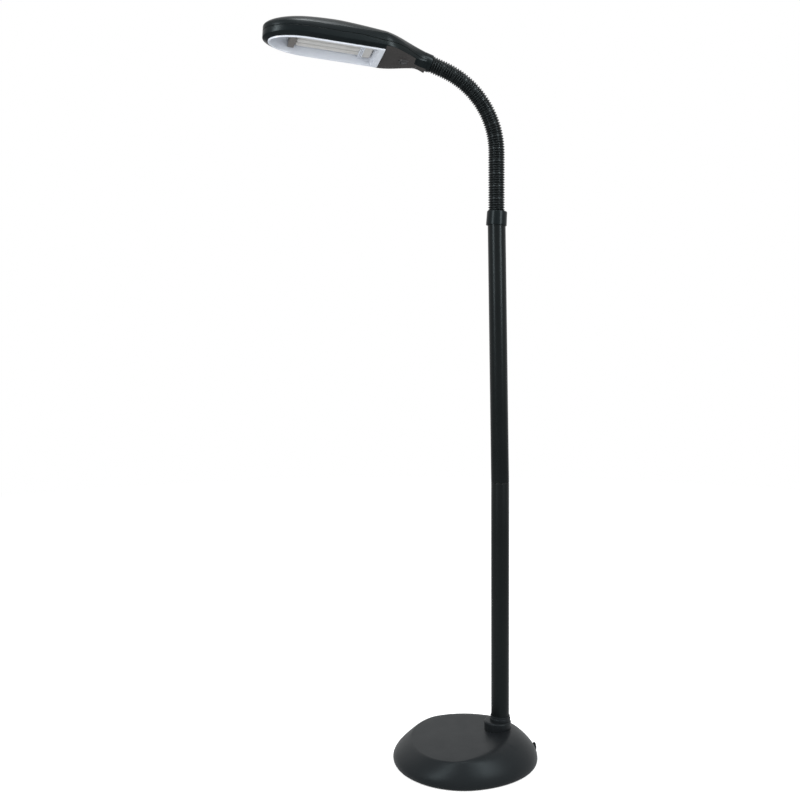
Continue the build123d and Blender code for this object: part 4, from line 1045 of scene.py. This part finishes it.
SUPPORT_UNDERSIDE = 7.0
SUPPORT_LENGTH = 12.0
SUPPORT_ROOM, SUPPORT_BEVEL = 0.6, 1.0
PIN_RADIUS, PIN_LENGTH, PIN_BACK, PIN_DROP, PIN_AROUND = 1.2, 5, 4.5, 5, 16
TRAY_SCREW_PLACE = 188.0
SHELL_SCREW_PLACE = 70.0
SHELL_SCREW_SUNK = 0.9
SCREW_PROFILE = ((2.8, 0), (2.8, 0.6), (2.2, 1.4), (1.0, 1.7), (0.7, 0.9), (TIP_RADIUS, 0.9))
SCREW_AROUND = 24
SOLE_SLOPE = math.atan(-STUB_SOLE / (SHELL_END - SOLE_LEVEL_END))
SWITCH_PLACE = 47.0
ROCKER_TILT = math.radians(5.0)
ROCKER_LENGTH, ROCKER_WIDTH = 18.0, 11.0
SLOT_AROUND = 10
# rings round the switch: how much wider than the rocker, and how high
BEZEL_RINGS = ((7, 0.6), (6, -1.9), (4.6, -2.8), (2, -2.8), (0.9, -2.0), (0.9, 4.5))
CAP_RINGS = ((-1.0, 0.4), (-0.6, -1.6), (-1.4, -2.3), (-3.0, -2.7))


def make_bulb_details():
    """Support under the tubes' bends, and the pins at the bulb's neck end."""
    half = OPENING_HALF - TRAY_FRAME - TRAY_DRAFT - SUPPORT_ROOM
    # the support block sits where the tray's end recess lies in shade; its dark grey-brown colour is
    # painted shade
    head_box((TUBE_END, -half, SUPPORT_UNDERSIDE),
             (TUBE_END + SUPPORT_LENGTH, half, TRAY_CEILING),
             SUPPORT_BEVEL, "tube_support", "holder", ["bulb_support"])
    profile = [(TIP_RADIUS, 0), (PIN_RADIUS, 0), (PIN_RADIUS, PIN_LENGTH),
               (TIP_RADIUS, PIN_LENGTH)]
    for index in range(TUBE_COUNT):
        centre = from_head(BULB_START - PIN_BACK, tube_place(index), TUBE_HEIGHT - PIN_DROP)
        rows = revolve(profile, centre, HEAD_X, HEAD_Y, PIN_AROUND)
        make_mesh("bulb_pin_%d" % index, *grid(rows, closed=True), "steel", "head", (),
                  SHARP_PIN)


def slot_ring(margin, height, tilt=0.0):
    """Ring of a rounded slot round the switch, this much longer and wider than the rocker."""
    length, width = ROCKER_LENGTH + margin, ROCKER_WIDTH + margin
    reach = (length - width) / 2
    ring = []
    for end in (1, -1):
        for step in range(SLOT_AROUND + 1):
            turn = math.pi * (step / SLOT_AROUND - 0.5)
            x = end * (reach + width / 2 * math.cos(turn))
            y = end * width / 2 * math.sin(turn)
            ring.append(from_head(-SWITCH_PLACE + x * math.cos(tilt), y,
                                  height + x * math.sin(tilt)))
    return ring


def make_switch():
    """Oval bezel round the rocker, and the rocker's cap."""
    bezel = [slot_ring(margin, height) for margin, height in BEZEL_RINGS]
    make_mesh("switch_bezel", *grid(bezel, closed=True), "moulded", "head", (), SHARP_TURNED)
    cap = [slot_ring(margin, height, -ROCKER_TILT) for margin, height in CAP_RINGS]
    make_mesh("rocker_cap", *grid(cap, closed=True, caps=True), "moulded", "rocker", ["rocker"],
              SHARP_TURNED)


def make_screw(name, place, height, lean, node, material):
    """Round screw head with a dimple, seen from below."""
    axis = (-HEAD_Z * math.cos(lean) - HEAD_X * math.sin(lean)).normalized()
    rows = revolve(SCREW_PROFILE, from_head(place, 0, height), axis, HEAD_Y, SCREW_AROUND)
    make_mesh(name, *grid(rows, closed=True), material, "head", [node], SHARP_TURNED)


make_camera()
make_world()
make_floor()
for row in LIGHTS:
    make_light(*row)
MATERIALS = {key: make_finish(*row) for key, row in FINISHES.items()}
dress_nodes()
make_top_shell()
make_lower_shell()
make_base_cover()
make_hose()
make_collar()
make_neck_mouth()
make_pole()
make_socket()
make_tray()
make_bulb()
make_bulb_base()
make_bulb_details()
make_switch()
make_screw("tray_screw_head", TRAY_SCREW_PLACE, TRAY_CEILING, 0.0, "tray_screw", "steel")
make_screw("shell_screw_head", -SHELL_SCREW_PLACE,
           sole_height(-SHELL_SCREW_PLACE) + SHELL_SCREW_SUNK, SOLE_SLOPE, "shell_screw",
           "black_steel")
scene.view_settings.view_transform = "Standard"
